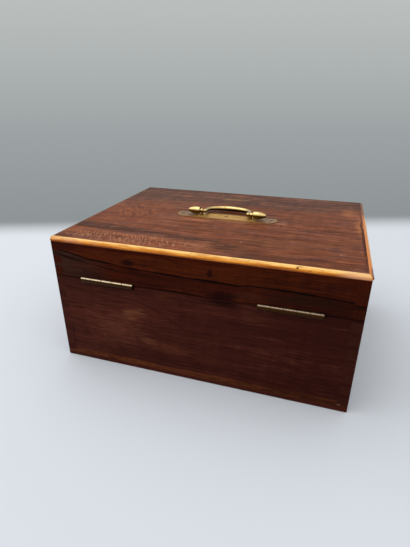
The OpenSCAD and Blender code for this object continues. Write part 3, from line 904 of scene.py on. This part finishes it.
@dataclass
class Boards:
    """The rosewood boards of the case and the lid, with the marks that each one has grown or got, and
    painted shade, shadow and reflection.

    Places and half sizes of marks are in millimetres in the frame.
    """

    nodes: dict[str, bpy.types.Object]
    seam_z: float = 100.3
    seam_half: float = 1.6
    contrast: float = 2.7
    top_contrast: float = 3.9
    ink_share: float = 0.3
    top_ink_share: float = 0.65
    end_share: float = 0.3
    seed_step: float = 17.3
    top_tones: Tones = Tones("#2e180f", "#583325", "#76432c", "#985e42", "#84452b", "#4a2a18")
    lid_tones: Tones = Tones("#0c0302", "#240a04", "#391205", "#50200a", "#441405", "#30120a")
    case_tones: Tones = Tones("#120706", "#2c110d", "#401b14", "#51281d", "#4b2118", "#32160f")
    growth: Course = Course(
        (
            (150.0, 131.0),
            (123.0, 126.0),
            (105.0, 123.2),
            (73.0, 120.4),
            (41.0, 119.0),
            (-7.0, 118.0),
            (-37.0, 117.4),
            (-58.0, 118.8),
            (-87.0, 119.2),
            (-110.0, 117.8),
            (-150.0, 116.0),
        )
    )
    wedge_edge: Course = Course(
        ((153.0, 80.0), (83.0, 84.0), (33.0, 90.0), (-17.0, 101.0), (-40.0, 112.0)), Face.LEVEL
    )
    band_edge: Course = Course(((153.0, 60.0), (33.0, 72.0), (-27.0, 82.0), (-60.0, 92.0)), Face.LEVEL)

    def top_grounds(self) -> tuple[Mark, ...]:
        """Lists the grounds of the top board: a red wedge by the back edge, a dark band, paler wood,
        painted reflection of the grey wall on its far part, and painted shade by the -X edging's far end.

        Returns:
            The grounds, lowest first.
        """
        far = Course(((150.0, -40.0), (0.0, -52.0), (-70.0, -50.0), (-150.0, -90.0)), Face.LEVEL)
        return (
            # Painted reflection of the grey wall: greyer wood on the far part of the top and at its far +X
            # corner
            Zone("#443630", 0.85, below=far, soft=9.0),
            Blot("#4c3c36", 0.85, Oval.down((104.0, -78.0), (46.0, 18.0), core=0.1)),
            Blot("#94522c", 0.7, Oval.down((121.0, 10.0), (42.0, 14.0), core=0.1)),
            Zone("#442a1f", 0.9, above=self.band_edge, below=self.wedge_edge, fade=(-75.0, -20.0)),
            Zone("#8e5032", 0.9, above=self.wedge_edge, soft=2.0, fade=(-45.0, -15.0)),
            Blot("#3e2c22", 0.8, Oval.down((-48.0, 112.0), (44.0, 7.0), core=0.2)),
            Blot("#42261b", 0.9, Oval.down((146.0, 110.0), (46.0, 9.0), core=0.3)),
            Blot("#aa6a48", 0.9, Oval.down((46.0, 21.0), (38.0, 12.0), core=0.1)),
            Blot("#c47c4c", 0.9, Oval.down((-147.5, -12.0), (10.0, 62.0), core=0.2)),
            Blot("#b87048", 0.85, Oval.down((-136.0, -56.0), (15.0, 27.0), core=0.2)),
            Blot("#563224", 0.6, Oval.down((-64.0, 34.0), (25.0, 10.0), core=0.2)),
            Blot("#563224", 0.6, Oval.down((-88.0, 44.0), (36.0, 10.0), core=0.2)),
            # Painted shade by the far end of the -X edging
            Blot("#301e1c", 0.7, Oval.down((-147.0, -95.0), (7.0, 30.0), core=0.2)),
            Blot("#30201a", 0.6, Oval.down((-138.0, 107.0), (26.0, 10.0), core=0.2)),
            Blot("#7c6038", 0.4, Oval.down((-55.0, 71.0), (20.0, 9.0), core=0.0)),
            Blot("#b47450", 0.8, Oval.down((4.0, 98.0), (27.0, 13.0), core=0.3)),
            Blot("#c08464", 0.9, Oval.down((-63.0, 1.0), (13.0, 13.0), core=0.3)),
            Blot("#5c403c", 0.6, Oval.down((20.0, -72.0), (20.0, 7.0))),
            Blot("#b08a58", 0.6, Oval.down((9.0, -79.0), (30.0, 7.0), core=0.3)),
            Blot("#4c341e", 0.5, Oval.down((4.0, -56.0), (32.0, 9.0), core=0.2)),
            Blot("#c08468", 0.6, Oval.down((26.0, 20.0), (22.0, 7.0), core=0.2)),
            Blot("#94644a", 0.5, Oval.down((68.0, -24.0), (28.0, 13.0), core=0.1)),
            Clouds("#64423e", 0.55, (34.0, 7.0), slant=4.0, seed=9.0),
        )

    def top_marks(self) -> tuple[Mark, ...]:
        """Lists the marks of the top board: ripples across the wedge and at the left, specks, the bail's
        painted shadow and a painted reflection of the brass in front of the plate.

        Returns:
            The marks, lowest first.
        """
        wedge = Oval.down((75.0, 100.0), (90.0, 17.0), core=0.6)
        left = Oval.down((112.0, 5.0), (52.0, 60.0), core=0.3)
        return (
            Clouds("#5a2c1c", 0.42, (12.0, 2.1), slant=116.0, within=wedge, seed=2.0),
            Clouds("#c08868", 0.5, (11.0, 1.7), slant=116.0, within=wedge, seed=21.0),
            Clouds("#52281a", 0.5, (15.0, 3.2), slant=118.0, within=left, seed=13.0),
            Clouds("#a4603a", 0.4, (15.0, 3.2), slant=118.0, within=left, seed=27.0),
            Clouds("#9c5c3c", 0.25, (26.0, 3.0), slant=6.0, seed=33.0),
            Blot("#30140e", 0.75, Oval((-148.0, 20.0, 143.0), (1.9, 110.0, 4.0), core=0.35, fray=0.6)),
            # Painted shadow of the bail, with a painted reflection of its dark underside
            Blot("#3e1200", 0.85, Oval((0.0, -15.0, 143.0), (27.0, 6.5, 4.0), core=0.4, fray=0.3)),
            # Painted reflection of the brass: paler gold-brown wood in front of the plate
            Blot("#9c7048", 0.45, Oval((-10.0, 13.5, 143.0), (36.0, 4.5, 4.0), core=0.3, fray=0.8)),
            Blot("#b89070", 0.35, Oval((-35.0, 75.1, 143.0), (1.2, 2.2, 4.0), core=0.5, fray=0.3)),
            Blot("#b89070", 0.5, Oval((-127.1, 80.3, 143.0), (1.1, 2.0, 4.0), core=0.5, fray=0.3)),
            Blot("#2c1008", 0.75, Oval((-65.1, 13.9, 143.0), (1.6, 2.8, 4.0), core=0.5, fray=0.3)),
        )

    def lid_grounds(self) -> tuple[Mark, ...]:
        """Lists the grounds of the lid's back: warm wood over the growth line, grey wood below it, and
        painted shadow under the edging.

        Returns:
            The grounds, lowest first.
        """
        eaves = Course(((150.0, 134.0), (-150.0, 135.0)))
        foot = Course(((150.0, 108.0), (-150.0, 106.0)))
        return (
            Zone("#4e1f0b", 0.6, above=self.growth, soft=1.0),
            # Painted shadow under the edging, along the top of the lid's back
            Zone("#340a02", 0.65, above=eaves, soft=1.5),
            Zone("#260a04", 0.6, below=eaves, soft=2.0, fade=(0.0, -130.0)),
            Blot("#2a0a0a", 0.75, Oval.inward((138.0, 134.0), (34.0, 6.5), core=0.3)),
            Blot("#2c0d0a", 0.75, Oval.inward((-122.0, 127.0), (42.0, 10.0), core=0.2)),
            Zone("#34221c", 0.75, below=self.growth, soft=1.5, fade=(70.0, 135.0)),
            Zone("#34120b", 0.6, below=self.growth, soft=1.5, fade=(90.0, 40.0)),
            Zone("#1e0805", 0.35, below=foot, soft=2.5),
        )

    def lid_marks(self) -> tuple[Mark, ...]:
        """Lists the marks of the lid's back: the growth line, its echo, two knots and a dark end.

        Returns:
            The marks, lowest first.
        """
        echo = Course(((150.0, 125.5), (123.0, 120.5), (100.0, 117.0), (60.0, 113.5), (20.0, 112.0)))
        return (
            Vein(echo, "#100503", half_w=0.8, strength=0.8, fade=(10.0, 60.0)),
            Vein(self.growth, "#080202", half_w=1.15, strength=0.97),
            Blot("#150606", 0.85, Oval.inward((66.0, 125.0), (9.0, 4.6), core=0.45)),
            Blot("#1a0808", 0.8, Oval.inward((-16.0, 126.0), (4.4, 6.0), core=0.45)),
            Blot("#100505", 0.75, Oval.inward((-147.0, 115.0), (9.0, 8.0))),
            Blot("#1a110a", 0.55, Oval.inward((-102.0, 111.5), (52.0, 8.5), core=0.3)),
            Blot("#4a2818", 0.35, Oval.inward((-56.0, 108.0), (24.0, 6.0))),
            Blot("#160506", 0.8, Oval.inward((-28.0, 104.0), (20.0, 9.0), core=0.3)),
        )

    def case_grounds(self) -> tuple[Mark, ...]:
        """Lists the grounds of the case's back: bands by its foot and seam, a dark end, pale patches.

        Returns:
            The grounds, lowest first.
        """
        low = Course(((150.0, 14.0), (-150.0, 16.0)))
        high = Course(((150.0, 23.0), (-150.0, 24.0)))
        foot = Course(((150.0, 10.5), (-150.0, 11.5)))
        eaves = Course(((150.0, 90.0), (-150.0, 92.0)))
        return (
            Zone("#2c120e", 0.45, above=low, below=high, soft=2.5),
            Zone("#34120e", 0.6, above=foot, soft=2.0, fade=(0.0, -130.0)),
            Zone("#76401c", 0.45, below=foot, soft=1.5),
            Zone("#280c08", 0.45, fade=(20.0, -130.0)),
            Zone("#5c2e20", 0.15, fade=(0.0, 130.0)),
            Zone("#260c08", 0.4, above=eaves, soft=3.5),
            Blot("#643624", 0.45, Oval.inward((30.0, 34.0), (36.0, 13.0), core=0.0, fray=1.2)),
            Clouds("#24100a", 0.7, (9.0, 2.2), slant=4.0, within=Oval.inward((0.0, 5.0), (THROUGH, 8.0))),
            Blot("#7a4a30", 0.6, Oval.inward((66.0, 68.0), (22.0, 11.0), core=0.0, fray=1.6, turn=12.0)),
            Blot("#7a4a30", 0.32, Oval.inward((51.0, 39.0), (14.0, 6.0), core=0.0, fray=1.4)),
            Blot("#683a2a", 0.55, Oval.inward((84.0, 46.0), (52.0, 32.0), core=0.0, fray=1.4)),
            Blot("#663620", 0.5, Oval.inward((33.0, 94.0), (15.0, 6.0), core=0.0, fray=1.6)),
            Blot("#5c3222", 0.35, Oval.inward((-58.0, 86.0), (18.0, 13.0), core=0.0, fray=1.6)),
        )

    def case_marks(self) -> tuple[Mark, ...]:
        """Lists the marks of the case's back: a faint arched line, a dark patch and a line by one end.

        Returns:
            The marks, lowest first.
        """
        arch = Course(((133.0, 89.0), (100.0, 88.4), (67.0, 85.0), (40.0, 76.0), (13.0, 63.0), (-10.0, 54.0)))
        return (
            Vein(arch, "#1a0805", half_w=0.6, strength=0.6, fade=(-16.0, 5.0)),
            Blot("#160506", 0.85, Oval.inward((-30.0, 98.0), (24.0, 9.0), core=0.3)),
            Blot("#180a06", 0.7, Oval.inward((141.0, 26.0), (1.1, 30.0), core=0.4, fray=0.5)),
        )

    def dress(self) -> None:
        """Gives each board its own cut of rosewood."""
        # A dark line along the seam between case and lid: painted shade in the gap between them
        line = Oval((0.0, 0.0, self.seam_z), (ENDLESS, ENDLESS, self.seam_half), core=0.4, fray=1.1)
        seam = Blot("#0a0403", 0.9, line)
        chip = Blot("#d8a494", 0.8, Oval((-144.5, 117.5, 7.0), (2.4, 6.0, 2.4), core=0.5, fray=0.5))
        marks = {
            "case_back": (*self.case_marks(), seam),
            "lid_back": (*self.lid_marks(), seam),
            "case_left": (seam, chip),
            "lid_top": self.top_marks(),
        }
        grounds = {
            "case_back": self.case_grounds(),
            "lid_back": self.lid_grounds(),
            "lid_top": self.top_grounds(),
        }
        end_shares = {"case_left": 0.8, "case_right": 0.4}
        cuts = [("case", side) for side in Side if side is not Side.TOP]
        cuts += [("lid", side) for side in Side if side is not Side.BOTTOM]
        finishes = {}
        for turn, (part, side) in enumerate(cuts, start=1):
            name = f"{part}_{side.name.lower()}"
            on_top = side is Side.TOP
            tones = self.lid_tones if part == "lid" else self.case_tones
            finishes[name] = PolishedRosewood(
                name=f"french_polished_rosewood_{name}",
                grain=side.grain(),
                tones=self.top_tones if on_top else tones,
                seed=self.seed_step * turn,
                inner=side.value,
                rim=(0.0, 0.0, -1.0) if part == "lid" else (0.0, 0.0, 1.0),
                contrast=self.top_contrast if on_top else self.contrast,
                ink_share=self.top_ink_share if on_top else self.ink_share,
                end_share=end_shares.get(name, self.end_share),
                grounds=grounds.get(name, ()),
                marks=marks.get(name, (seam,)),
            ).build()
        dress(self.nodes, finishes)


@dataclass
class Edging:
    """The boxwood edging round the lid."""

    nodes: dict[str, bpy.types.Object]
    corner_off: float = 35.0
    seed_step: float = 9.1

    def marks(self, side: Side) -> tuple[Mark, ...]:
        """Lists the marks on one length of edging.

        Args:
            side: where on the lid it runs.

        Returns:
            The marks, lowest first.
        """
        left_end = Oval((118.0, 117.0, 141.0), (60.0, 30.0, 30.0))
        return {
            Side.BACK: (
                Blot("#4c220a", 0.9, Oval((-93.2, 117.0, 141.6), (1.4, 3.0, 1.1), core=0.5, fray=0.3)),
                Clouds("#c8886a", 0.6, (20.0, 3.0), within=left_end),
                Clouds("#b86a20", 0.5, (14.0, 2.0), seed=8.0),
                Blot("#e4b08c", 0.45, Oval((-142.0, 117.0, 142.0), (22.0, 30.0, 30.0), core=0.2)),
            ),
            Side.LEFT: (
                # Painted shade at the far end of this run and at its back corner
                Blot("#583028", 0.8, Oval((-151.5, -90.0, 141.0), (30.0, 62.0, 30.0), core=0.3)),
                Blot("#4a200c", 0.8, Oval((-153.0, 110.0, 142.0), (3.0, 16.0, 4.0), core=0.4)),
            ),
        }.get(side, ())

    def dress(self) -> None:
        """Gives each length of edging its own strip of boxwood, with a crown of its own tone."""
        # The back crown is a painted highlight; the front and right crowns are dark and the left one orange
        crowns = (
            (Side.FRONT, "#4c3020", 0.9),
            (Side.BACK, "#ffd694", 0.2),
            (Side.LEFT, "#d4702a", 0.85),
            (Side.RIGHT, "#3c281c", 0.9),
        )
        finishes = {}
        for turn, (side, crown, crown_share) in enumerate(crowns):
            place = side.name.lower()
            finishes[f"edging_{place}"] = PolishedBoxwood(
                name=f"polished_boxwood_{place}",
                grain=side.grain(),
                crown=crown,
                crown_share=crown_share,
                corner_off=self.corner_off,
                seed=self.seed_step * turn,
                marks=self.marks(side),
            ).build()
        dress(self.nodes, finishes)


@dataclass
class Metalwork:
    """The brass and steel of hinges, lock, screws and handle."""

    nodes: dict[str, bpy.types.Object]
    plate_end_x: float = 48.0

    def plate_spots(self) -> tuple[Mark, ...]:
        """Lists the spots of the handle's plate: browned, speckled ends, a painted highlight along its near
        edge and the bail's painted shadow along its far one.

        Returns:
            The spots, lowest first.
        """
        ends = [Oval.down((side * self.plate_end_x, 0.0), (19.0, 30.0), core=0.5) for side in (1, -1)]
        return (
            *(Blot("#906848", 0.9, end) for end in ends),
            *(Clouds("#4a3222", 0.585, (3.0, 2.6), 20.0, end, seed=3.0, bounds=(0.49, 0.58)) for end in ends),
            *(Clouds("#dcb080", 0.585, (2.2, 1.8), 20.0, end, seed=12.0, bounds=(0.53, 0.6)) for end in ends),
            Clouds("#8c6434", 0.45, (5.0, 2.6), seed=7.0, bounds=(0.5, 0.62)),
            # Painted highlight along the plate's near edge
            Zone("#b88c5c", 0.6, above=Course(((60.0, 9.0), (-60.0, 9.2)), Face.LEVEL), soft=0.8),
            # Painted shadow of the bail along the plate's far edge
            Zone("#4e280e", 0.9, below=Course(((60.0, -6.6), (-60.0, -6.8)), Face.LEVEL), soft=0.9),
        )

    def dress(self) -> None:
        """Gives each metal node its finish."""
        # Painted shade and reflection on the faces of the handle that look down
        bail_underside_shade = UndersideShade("#664a10", (0.55, 0.1))
        # Barrels: greyer on the -X hinge, dirt and painted shade in the knuckle gaps, painted shade below
        barrel_dirt_and_shade = (
            Zone("#8c7664", 0.72, fade=(-40.0, -60.0)),
            KnuckleGapDirtAndShade("#3a2814"),
            UndersideShade("#38220e", (0.92, 0.55)),
        )
        spots = self.plate_spots()
        # After the two tones come the tarnish's share, the roughness, a patch's size and how metallic it is
        handle = WornMetal("cast_brass_handled", "#f2d290", "#a87e24", 0.45, 0.17, 5.0, spots=(bail_underside_shade,))
        hinge = WornMetal("rolled_brass_dulled", "#fbe4c0", "#b4946c", 0.4, 0.3, 2.5, spots=barrel_dirt_and_shade)
        plate = WornMetal("sheet_brass_spotted", "#dca852", "#8c6838", 0.4, 0.36, 2.0, 0.7, spots=spots)
        fitting = WornMetal("sawn_brass_dulled", "#c9a868", "#6a5430", 0.8, 0.34, 2.5)
        screw = WornMetal("turned_brass_browned", "#8a6434", "#3c2810", 0.8, 0.42, 1.2, 0.7)
        steel = WornMetal("turned_steel_dull", "#8c8a86", "#4c4640", 0.6, 0.4, 4.0)
        groups = {
            handle: "handle_bail handle_finial_left handle_finial_right handle_post_left handle_post_right",
            hinge: "hinge_leaf_case_left hinge_leaf_case_right hinge_leaf_lid_left hinge_leaf_lid_right "
            "hinge_pin_left hinge_pin_right",
            fitting: "hinge_screws_case hinge_screws_lid lock_selvedge strike_plate "
            "strike_screws lock_screws keyhole_escutcheon lock_back_plate lock_case",
            screw: "handle_plate_screws",
            plate: "handle_plate",
            steel: "bottom_screws lock_drill_pin lock_bolt handle_washers handle_nuts",
        }
        for finish, names in groups.items():
            dress(self.nodes, dict.fromkeys(names.split(), finish.build()))


@dataclass
class Bail:
    """The handle's bail, smooth all round, where the CAD solid has flats.

    It is swept at Z = 0 with its pivot on the X axis and its grip at -Y, then turned down to rest. Its
    sizes are those of the solid, in millimetres and degrees.
    """

    nodes: dict[str, bpy.types.Object]
    pivot_z: float = 148.4
    rest_drop: float = 5.175
    leg_x: float = 25.5
    reach: float = 25.5
    crown_r: float = 41.0
    shoulder_r: float = 13.5
    leg_d: float = 4.0
    grip_d: float = 5.6
    elbow_d: float = 4.4
    journal_d: float = 2.6
    journal_end: float = 35.2
    sides: int = 24
    leg_steps: int = 4
    shoulder_steps: int = 10
    crown_steps: int = 12
    ball_sides: int = 32
    ball_rings: int = 20

    def line(self) -> list[tuple[float, float, float]]:
        """Follows the bail from the +X leg to the -X leg.

        Returns:
            X, how far the place lies from the pivot, and the angle of the bail's ring there.
        """
        crown_c = self.reach - self.crown_r
        shoulder_x = self.leg_x - self.shoulder_r
        shoulder_s = crown_c + math.sqrt((self.crown_r - self.shoulder_r) ** 2 - shoulder_x**2)
        turn = math.atan2(shoulder_s - crown_c, shoulder_x)
        half = [(self.leg_x, shoulder_s * step / self.leg_steps, 0.0) for step in range(self.leg_steps)]
        for step in range(self.shoulder_steps):
            angle = turn * step / self.shoulder_steps
            x = shoulder_x + self.shoulder_r * math.cos(angle)
            half.append((x, shoulder_s + self.shoulder_r * math.sin(angle), angle))
        for step in range(self.crown_steps + 1):
            angle = turn + (math.pi / 2 - turn) * step / self.crown_steps
            half.append((self.crown_r * math.cos(angle), crown_c + self.crown_r * math.sin(angle), angle))
        return half + [(-x, s, math.pi - angle) for x, s, angle in reversed(half[:-1])]

    def sweep(self, shape: bmesh.types.BMesh) -> None:
        """Sweeps a ring along the bail.

        Args:
            shape: the mesh that gets the bar.
        """
        line = self.line()
        ring = bmesh.ops.create_circle(shape, segments=self.sides, radius=1.0)["verts"]
        edges = list({edge for vert in ring for edge in vert.link_edges})
        placed = Matrix.Identity(4)
        for turn, (x, s, angle) in enumerate(line):
            swell = (1 - math.cos(math.tau * turn / (len(line) - 1))) / 2
            radius = (self.leg_d + (self.grip_d - self.leg_d) * swell) / 2
            wanted = (
                Matrix.Translation((x, -s, 0.0))
                @ Matrix.Rotation(-angle, 4, "Z")
                @ Matrix.Rotation(math.radians(90), 4, "X")
                @ Matrix.Scale(radius, 4)
            )
            if turn:
                grown = bmesh.ops.extrude_edge_only(shape, edges=edges)["geom"]
                ring = [part for part in grown if isinstance(part, bmesh.types.BMVert)]
                grown_edges = [part for part in grown if isinstance(part, bmesh.types.BMEdge)]
                edges = [edge for edge in grown_edges if set(edge.verts) <= set(ring)]
            bmesh.ops.transform(shape, matrix=wanted @ placed.inverted(), verts=ring)
            placed = wanted

    def add_pivots(self, shape: bmesh.types.BMesh) -> None:
        """Adds the ball at each elbow, and the journal on it that turns in the post.

        Args:
            shape: the mesh that gets them.
        """
        journal_l = self.journal_end - self.leg_x
        for side in (1, -1):
            bmesh.ops.create_uvsphere(
                shape,
                u_segments=self.ball_sides,
                v_segments=self.ball_rings,
                radius=self.elbow_d / 2,
                matrix=Matrix.Translation((side * self.leg_x, 0.0, 0.0)),
            )
            middle = Matrix.Translation((side * (self.leg_x + journal_l / 2), 0.0, 0.0))
            bmesh.ops.create_cone(
                shape,
                cap_ends=True,
                segments=self.ball_sides,
                radius1=self.journal_d / 2,
                radius2=self.journal_d / 2,
                depth=journal_l,
                matrix=middle @ Matrix.Rotation(math.radians(90), 4, "Y"),
            )

    def build(self) -> bpy.types.Object:
        """Builds the bail in place of its CAD solid.

        Returns:
            The bail.
        """
        shape = bmesh.new()
        self.sweep(shape)
        lower = Matrix.Rotation(math.radians(self.rest_drop), 4, "X")
        bmesh.ops.transform(shape, matrix=lower, verts=shape.verts[:])
        self.add_pivots(shape)
        bmesh.ops.translate(shape, verts=shape.verts[:], vec=(0.0, 0.0, self.pivot_z))
        bmesh.ops.scale(shape, verts=shape.verts[:], vec=(MM,) * 3)
        bmesh.ops.recalc_face_normals(shape, faces=shape.faces[:])
        for face in shape.faces:
            face.smooth = len(face.verts) <= 4
        mesh = bpy.data.meshes.new("bail")
        shape.to_mesh(mesh)
        shape.free()
        mesh.materials.append(self.nodes["handle_bail"].data.materials[0])
        bail = bpy.data.objects.new("bail", mesh)
        bpy.context.scene.collection.objects.link(bail)
        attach(bail, "handle")
        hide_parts("handle_bail")
        log.info("bail stands for handle_bail")
        return bail


@dataclass
class Studio:
    """The camera, the pale floor, the backdrop and the light.

    Places and sizes are in millimetres, angles in degrees, and the lamp's power is in watts.
    """

    camera_at: tuple[float, float, float] = (-111.6, 425.0, 275.8)
    looks_down: float = 25.0
    turned: float = 17.9
    focal: float = 25.86
    sensor: float = 36.0
    nearest: float = 10.0
    farthest: float = 20000.0
    floor_tone: str = "#dbdfe5"
    floor_roughness: float = 0.9
    floor_level: float = 0.1
    floor_r: float = 3000.0
    floor_sides: int = 96
    wall_off: float = 776.0
    wall_skew: float = 3.1
    wall_half: float = 760.0
    wall_h: float = 1500.0
    wall_foot_h: float = 42.0
    wall_tones_h: float = 500.0
    wall_tones: tuple[tuple[float, str], ...] = (
        (0.0, "#c4cacd"),
        (0.07, "#8e9496"),
        (0.2, "#93999a"),
        (0.4, "#9ca2a3"),
        (0.6, "#abb0b0"),
        (0.75, "#b6bbba"),
        (1.0, "#c4c8c8"),
    )
    sky_tones: tuple[tuple[float, str], ...] = (
        (0.0, "#b8bec0"),
        (0.2, "#cfd3d4"),
        (0.6, "#e4e7e8"),
        (1.0, "#fafafa"),
    )
    near_light: float = 1.36
    far_light: float = 0.76
    lamp_at: tuple[float, float, float] = (550.0, 50.0, 1250.0)
    lamp_aim: tuple[float, float, float] = (0.0, 0.0, 80.0)
    lamp_d: float = 1500.0
    lamp_power: float = 5.0

    def build(self) -> None:
        """Builds the whole set."""
        self.place_camera()
        self.lay_floor()
        self.hang_backdrop()
        self.light()

    def place_camera(self) -> None:
        """Sets up the camera at the photograph's viewing angle."""
        data = bpy.data.cameras.new("camera")
        data.lens, data.sensor_width = self.focal, self.sensor
        data.clip_start, data.clip_end = self.nearest * MM, self.farthest * MM
        camera = bpy.data.objects.new("camera", data)
        bpy.context.scene.collection.objects.link(camera)
        down, turn = math.radians(self.looks_down), math.radians(self.turned)
        ahead = Vector((math.sin(turn) * math.cos(down), -math.cos(turn) * math.cos(down), -math.sin(down)))
        camera.location = Vector(self.camera_at) * MM
        camera.rotation_mode = "QUATERNION"
        camera.rotation_quaternion = ahead.to_track_quat("-Z", "Y")
        bpy.context.scene.camera = camera

    def lay_floor(self) -> None:
        """Lays a plain pale floor."""
        mesh = bpy.data.meshes.new("floor")
        shape = bmesh.new()
        bmesh.ops.create_circle(shape, cap_ends=True, segments=self.floor_sides, radius=self.floor_r * MM)
        shape.to_mesh(mesh)
        shape.free()
        floor = bpy.data.objects.new("floor", mesh)
        bpy.context.scene.collection.objects.link(floor)
        material, _, shader = new_material("matt_paper_floor")
        shader.inputs["Base Color"].default_value = linear(self.floor_tone)
        shader.inputs["Roughness"].default_value = self.floor_roughness
        shader.inputs["Specular IOR Level"].default_value = self.floor_level
        mesh.materials.append(material)

    def hang_backdrop(self) -> None:
        """Hangs a square of grey walls that only the camera sees, and only from inside."""
        mesh = self.wall_mesh()
        mesh.materials.append(self.wall_paint())
        backdrop = bpy.data.objects.new("backdrop", mesh)
        bpy.context.scene.collection.objects.link(backdrop)
        for name in ("diffuse", "glossy", "transmission", "volume_scatter", "shadow"):
            setattr(backdrop, f"visible_{name}", False)

    def wall_mesh(self) -> bpy.types.Mesh:
        """Raises four walls round the set, with their faces turned inwards.

        Returns:
            The walls' mesh.
        """
        shape = bmesh.new()
        ring = bmesh.ops.create_circle(shape, segments=4, radius=self.wall_half * math.sqrt(2) * MM)["verts"]
        turn = math.radians(self.turned)
        ahead = Vector((math.sin(turn), -math.cos(turn), 0.0))
        centre = (Vector((*self.camera_at[:2], 0.0)) + ahead * (self.wall_off - self.wall_half)) * MM
        squared = Matrix.Rotation(turn + math.radians(45 + self.wall_skew), 4, "Z")
        bmesh.ops.transform(shape, matrix=Matrix.Translation(centre) @ squared, verts=ring)
        raised = bmesh.ops.extrude_edge_only(shape, edges=shape.edges[:])["geom"]
        bmesh.ops.translate(
            shape,
            verts=[v for v in raised if isinstance(v, bmesh.types.BMVert)],
            vec=(0.0, 0.0, self.wall_h * MM),
        )
        outward = [f for f in shape.faces if f.normal.dot(f.calc_center_median() - centre) > 0]
        bmesh.ops.reverse_faces(shape, faces=outward)
        mesh = bpy.data.meshes.new("backdrop")
        shape.to_mesh(mesh)
        shape.free()
        return mesh

    def wall_paint(self) -> bpy.types.Material:
        """Makes the walls' grey, which fades in over the floor and is clear from outside.

        Returns:
            The material.
        """
        material, tree, shader = new_material("grey_backdrop")
        height = add_node(tree, "SeparateXYZ", inputs={0: millimetres(tree)}).node.outputs["Z"]
        share = add_node(tree, "MapRange", inputs={"Value": height, "From Max": self.wall_tones_h})
        # Painted light: the walls glow darkest just above the floor and lighter higher up, in place of a lit
        # wall
        tone = add_node(tree, "ValToRGB", inputs={"Fac": share}, stops=self.wall_tones)
        glow = add_node(tree, "Emission", inputs={"Color": tone})
        clear = add_node(tree, "BsdfTransparent")
        rising = {"Value": height, "From Max": self.wall_foot_h}
        foot = add_node(tree, "MapRange", {"interpolation_type": "SMOOTHSTEP"}, rising)
        outside = add_node(tree, "NewGeometry").node.outputs["Backfacing"]
        inside = add_node(tree, "Math", {"operation": "SUBTRACT"}, {0: 1.0, 1: outside})
        solid = add_node(tree, "Math", {"operation": "MULTIPLY"}, {0: foot, 1: inside})
        surface = add_node(tree, "MixShader", inputs={0: solid, 1: clear, 2: glow})
        tree.nodes.remove(shader)
        tree.links.new(surface, tree.nodes["Material Output"].inputs["Surface"])
        return material

    def light(self) -> None:
        """Lights the set with a soft sky, brighter overhead, and one broad lamp."""
        world = bpy.data.worlds.new("soft_room")
        bpy.context.scene.world = world
        world.use_nodes = True
        tree = world.node_tree
        direction = add_node(tree, "TexCoord").node.outputs["Generated"]
        parts = add_node(tree, "SeparateXYZ", inputs={0: direction}).node.outputs
        sides = {"Value": parts["Y"], "From Min": -1.0, "To Min": self.far_light, "To Max": self.near_light}
        tone = add_node(tree, "ValToRGB", inputs={"Fac": parts["Z"]}, stops=self.sky_tones)
        background = tree.nodes["Background"]
        tree.links.new(tone, background.inputs["Color"])
        tree.links.new(add_node(tree, "MapRange", inputs=sides), background.inputs["Strength"])
        lamp = bpy.data.lights.new("overhead_softbox", "AREA")
        lamp.shape, lamp.size = "DISK", self.lamp_d * MM
        lamp.energy = self.lamp_power
        softbox = bpy.data.objects.new("overhead_softbox", lamp)
        bpy.context.scene.collection.objects.link(softbox)
        softbox.location = Vector(self.lamp_at) * MM
        aim = (Vector(self.lamp_aim) - Vector(self.lamp_at)) * MM
        softbox.rotation_mode = "QUATERNION"
        softbox.rotation_quaternion = aim.to_track_quat("-Z", "Y")
        bpy.context.scene.view_settings.view_transform = "Standard"


def main() -> None:
    """Loads the frame, dresses every node and sets up the studio."""
    logging.basicConfig(level=logging.INFO, format="%(name)s: %(message)s")
    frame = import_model()
    nodes = frame["nodes"]
    Boards(nodes).dress()
    Edging(nodes).dress()
    Metalwork(nodes).dress()
    Bail(nodes).build()
    Studio().build()


if __name__ == "__main__":
    main()
